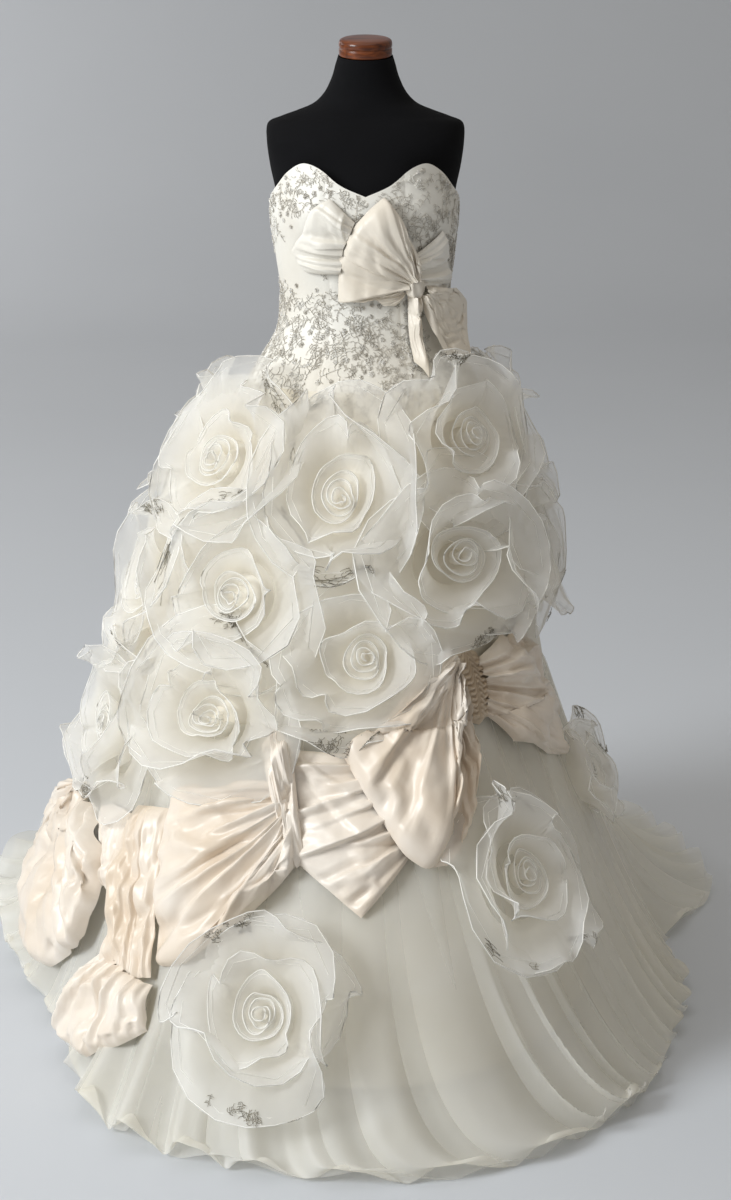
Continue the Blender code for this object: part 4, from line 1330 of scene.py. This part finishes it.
# %% Lace sprigs
def sprig_lines(draw, length):
    """A stem with side twigs, as flat lines in metres, and the places of its beads."""
    bend = draw.uniform(-1.8, 1.8)
    heading = draw.uniform(0, 2 * math.pi)
    steps = 8
    s = np.linspace(0, 1, steps)
    angle = heading + bend * s
    stem = np.cumsum(np.stack([np.cos(angle), np.sin(angle)], -1), axis=0) * length / steps
    stem = stem - stem.mean(0)
    lines, beads = [stem], []
    for i in range(1, steps):
        for sign in (-1, 1):
            if draw.random() < 0.42:
                continue
            turn = angle[i] + sign * draw.uniform(0.5, 1.1)
            reach = length * draw.uniform(0.14, 0.34)
            t = np.linspace(0, 1, 4)[:, None]
            curl = turn + sign * 0.9 * t[:, 0]
            twig = stem[i] + reach * t * np.stack([np.cos(curl), np.sin(curl)], -1)
            lines.append(twig)
            if draw.random() < 0.6:
                beads.append(twig[-1])
        if draw.random() < 0.5:
            beads.append(stem[i])
    return lines, beads


def flower_lines(draw, size):
    """Five small loops of cord round a bead."""
    start = draw.uniform(0, 2 * math.pi)
    lines = []
    t = np.linspace(0, 2 * math.pi, 7)
    for k in range(5):
        a = start + 2 * math.pi * k / 5
        away, aside = np.array([math.cos(a), math.sin(a)]), np.array([-math.sin(a), math.cos(a)])
        loop = size * ((0.55 - 0.45 * np.cos(t))[:, None] * away + 0.30 * np.sin(t)[:, None] * aside)
        lines.append(loop)
    turns = [start + 0.6, start + 3.1]
    small = [size * 0.62 * np.array([math.cos(turn), math.sin(turn)]) for turn in turns]
    return lines, [np.zeros(2)] + small


def bead_mesh(name, places, sizes, finish):
    points = np.array([(1, 0, 0), (-1, 0, 0), (0, 1, 0), (0, -1, 0), (0, 0, 1), (0, 0, -1)], float)
    faces = np.array([(0, 2, 4), (2, 1, 4), (1, 3, 4), (3, 0, 4), (2, 0, 5), (1, 2, 5), (3, 1, 5), (0, 3, 5)])
    many = (np.asarray(places)[:, None] + np.asarray(sizes)[:, None, None] * points).reshape(-1, 3)
    shift = np.arange(len(places))[:, None, None] * len(points)
    piece = mesh_of(name, many, (faces + shift).reshape(-1, 3).tolist())
    piece.data.materials.append(finish)
    return piece


print("lace makers:", sprig_lines.__name__, flower_lines.__name__, bead_mesh.__name__)

# %% [markdown]
# ### Where the lace lies
# The lace is crowded under the neckline and over the hips, thin between, and clear of the bow.
# Random places that keep their distance from each other give that without a visible pattern.

# %% Where the lace lies on the bodice
def lace_density(azimuth, height):
    """How crowded the lace is, from 0 to 1."""
    below_edge = float(neckline(np.array(azimuth))) - height
    front = abs(azimuth) < 95
    deep = 0.055 * float(step_up(azimuth, 5, 25)) * float(front)
    top = float(1.0 - step_up(below_edge, 0.055 + deep, 0.105 + deep)) * (1.0 if front else 0.45)
    hips = float(1.0 - step_up(height, 1.245 + 0.0004 * max(azimuth, -60), 1.300)) * (1.0 if front else 0.55)
    side = 0.9 if 68 < azimuth < 92 else 0.0
    patch = 0.85 * math.exp(-(((azimuth + 22) / 12) ** 2) - ((height - 1.300) / 0.022) ** 2)
    return max(top, hips, side, patch, 0.04)


def laid_on_bodice(lines, out):
    """Flat lines in metres, each round its own spot, laid on the bodice in one go."""
    counts = [len(line) for _, line in lines]
    spot = np.repeat(np.array([here for here, _ in lines]), counts, axis=0)
    flat = np.concatenate([line for _, line in lines])
    wide = np.linalg.norm(
        body_skin(spot[:, 0] + 0.5, spot[:, 1]) - body_skin(spot[:, 0] - 0.5, spot[:, 1]), axis=-1
    )
    azimuth = spot[:, 0] + flat[:, 0] / wide
    height = spot[:, 1] + flat[:, 1]
    on = moved_out(body_skin, azimuth, height, out)
    inside = height < neckline(azimuth) - 0.0015
    cuts = np.cumsum(counts)[:-1]
    return [(line, keep.all()) for line, keep in zip(np.split(on, cuts), np.split(inside, cuts))]


LACE_SPOTS = 880
# Where the bow's right loop covers the lace: its azimuths and its heights
BOW_LOOP = (42, 76, 1.150, 1.275)
LACE_APART = 0.0070


def build_lace():
    draw = np.random.default_rng(5)
    spots, lines, kinds, beads, sizes = [], [], [], [], []
    tries = 0
    while len(spots) < LACE_SPOTS and tries < 12000:
        tries += 1
        azimuth = draw.uniform(-180, 180)
        height = draw.uniform(WAIST_SEAM - 0.045, 1.480)
        if BOW_LOOP[0] < azimuth < BOW_LOOP[1] and BOW_LOOP[2] < height < BOW_LOOP[3]:
            continue
        if height > float(neckline(np.array(azimuth))) - 0.003:
            continue
        if draw.random() > lace_density(azimuth, height):
            continue
        here = (azimuth, height)
        if spots:
            near = (np.array(spots) - here) * (0.0026, 1.0)
            if np.hypot(*near.T).min() < LACE_APART:
                continue
        spots.append(here)
        if draw.random() < 0.34:
            work, places = flower_lines(draw, draw.uniform(0.0035, 0.0052))
            big, silver_share = 1.35, 0.35
        else:
            work, places = sprig_lines(draw, draw.uniform(0.018, 0.042))
            big, silver_share = 1.0, 0.74
        lines += [(here, line) for line in work]
        kinds += [bool(draw.random() < silver_share)] * len(work)
        beads += [(here, place[None]) for place in places]
        sizes += list(big * draw.uniform(0.0007, 0.0012, len(places)))
    on = laid_on_bodice(lines, 0.0012)
    silver = [line for (line, keep), is_silver in zip(on, kinds) if is_silver and keep]
    white = [line for (line, keep), is_silver in zip(on, kinds) if not is_silver and keep]
    placed = [(place[0], size) for (place, keep), size in zip(laid_on_bodice(beads, 0.0018), sizes) if keep]
    pieces = [
        tube_along("bodice_lace_silver", silver, 0.00042, 3, THREAD),
        tube_along("bodice_lace_white", white, 0.00062, 3, PEARL),
        bead_mesh("bodice_lace_beads", [p for p, _ in placed], [z for _, z in placed], BEAD),
    ]
    for piece in pieces:
        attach(piece, "root")
        print(piece.name, "faces:", len(piece.data.polygons))
    print("lace spots:", len(spots), "tries:", tries)


build_lace()

# %% [markdown]
# ### Lace on the petals
# Most roses carry one or two beaded motifs near the rim of the outer turn. The strip's own
# formula carries each sprig, so the thread follows the petal's folds.

# %% Lace on the petals
# Directions from each rose's middle to its motifs, in degrees: 0 is right and 90 is up
MOTIFS = {
    "rose_front_left_top": (40, 200),
    "rose_front_centre_top": (100, -95),
    "rose_front_right_top": (60, 110),
    "rose_front_left_upper": (88, 115),
    "rose_front_right_upper": (-45, -75),
    "rose_right_upper": (100, -70),
    "rose_front_centre_lower": (-105, -80),
    "rose_front_left_lower": (65, 100),
    "rose_left_lower": (95, -85),
    "rose_skirt_left": (115, -90),
    "rose_skirt_right": (85, -87),
    "rose_right_lower": (0, 60),
}
PLAIN_MOTIFS = (80, -60)


def share_facing(rose, degrees):
    """The share of a rose's strip, on its last turn, that faces the given way."""
    share = (math.radians(rose.turn) - math.radians(degrees)) / (2 * math.pi * ROSE_TURNS)
    step = 1.0 / ROSE_TURNS
    return share + step * math.ceil((0.835 - share) / step)


def build_petal_lace():
    """Beaded sprigs on the outer turn of each rose, near the rim."""
    draw = np.random.default_rng(8)
    threads, beads, sizes = [], [], []
    for rose, (face, points) in zip(ROSES, PETAL_FACES):
        steps = np.linalg.norm(np.diff(points[-2], axis=0), axis=1) * (points.shape[1] - 1)
        wide = np.linalg.norm(np.diff(points[:, -40], axis=0), axis=1).sum()
        lines, dots = [], []
        for degrees in MOTIFS.get(rose.name, PLAIN_MOTIFS):
            turn = share_facing(rose, degrees)
            pace = steps[int(turn * (len(steps) - 1))]
            for _ in range(9):
                spot = np.array([turn, 0.86]) + draw.normal(0, 1, 2) * (0.024 / pace, 0.008 / wide)
                sprig, places = sprig_lines(draw, draw.uniform(0.016, 0.032))
                lines += [spot + line / (pace, wide) for line in sprig]
                dots += [spot + place / (pace, wide) for place in places]
        shares = np.concatenate(lines + [np.array(dots)])
        on = face(np.clip(shares[:, 0], 0, 0.992), np.clip(shares[:, 1], 0.05, 0.985))
        cuts = np.cumsum([len(line) for line in lines])
        on[:, :2] *= 1.0 + 0.003 / np.hypot(on[:, 0], on[:, 1])[:, None]
        threads += np.split(on, cuts)[:-1]
        beads.append(on[cuts[-1]:])
        sizes.append(draw.uniform(0.0007, 0.0012, len(dots)))
    for piece in (
        tube_along("petal_lace_threads", threads, 0.00055, 3, DARK_THREAD),
        bead_mesh("petal_lace_beads", np.concatenate(beads), np.concatenate(sizes), BEAD),
    ):
        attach(piece, "root")
        print(piece.name, "faces:", len(piece.data.polygons))


build_petal_lace()

# %% [markdown]
# ## Floor, backdrop and light
# A pale sweep of paper runs from the floor up behind the dress. One big soft light stands at the
# left, as a window would, a faint one hangs above, and two more reach only the paper behind. The
# sky gives the rest, so the right side stays deeper and warmer.

# %% Studio
PAPER_WIDE, PAPER_LONG, PAPER_FLAT, PAPER_BEND, PAPER_FRONT = 48.0, 42.0, 26.0, 6.0, -18.0
PAPER = finish_of(
    "backdrop paper", (0.635, 0.66, 0.70), (0.62, 0.645, 0.685), 0.9, mottle=0.5, weave=0,
)


def studio_sweep(across, up):
    run = PAPER_LONG * up
    arc = PAPER_BEND * math.pi / 2
    over = np.clip(run - PAPER_FLAT, 0, arc) / PAPER_BEND
    y = PAPER_FRONT + np.minimum(run, PAPER_FLAT) + PAPER_BEND * np.sin(over)
    z = PAPER_BEND * (1 - np.cos(over)) + np.maximum(run - PAPER_FLAT - arc, 0)
    return np.stack([PAPER_WIDE * (across - 0.5), y, z - 0.0005], -1)


sweep, _ = sheet_of("studio_sweep", studio_sweep, 24, 120, PAPER)

Light = namedtuple("Light", "name place aim size power colour")
LIGHTS = [
    Light("window light", (-5.6, -3.6, 3.9), (0.0, 0.0, 0.8), (2.4, 3.2), 455.0, (0.94, 0.975, 1.0)),
    Light("ceiling light", (-0.6, -0.6, 4.6), (0.0, 0.6, 0.6), (4.0, 4.0), 36.0, (1.0, 0.98, 0.94)),
    Light("backdrop light", (-7.0, 9.2, 4.2), (-1.6, 11.5, 0.3), (3.0, 2.0), 140.0, (1.0, 1.0, 1.0)),
    Light("floor light", (-5.2, 3.0, 3.0), (-2.2, 5.2, 0.0), (1.6, 1.6), 45.0, (1.0, 1.0, 1.0)),
]
for light in LIGHTS:
    data = bpy.data.lights.new(light.name, "AREA")
    data.shape = "RECTANGLE"
    data.size, data.size_y = light.size
    data.energy = light.power
    data.color = light.colour
    lamp = bpy.data.objects.new(light.name, data)
    lamp.location = light.place
    lamp.rotation_euler = (Vector(light.aim) - Vector(light.place)).to_track_quat("-Z", "Y").to_euler()
    bpy.context.scene.collection.objects.link(lamp)

world = bpy.data.worlds.new("studio air")
world.use_nodes = True
sky = world.node_tree.nodes["Background"]
sky.inputs["Color"].default_value = (1.0, 0.955, 0.88, 1)
sky.inputs["Strength"].default_value = 0.33
bpy.context.scene.world = world
bpy.context.scene.view_settings.view_transform = "Standard"
bpy.context.scene.cycles.transparent_max_bounces = 32
print("lights:", len(LIGHTS))
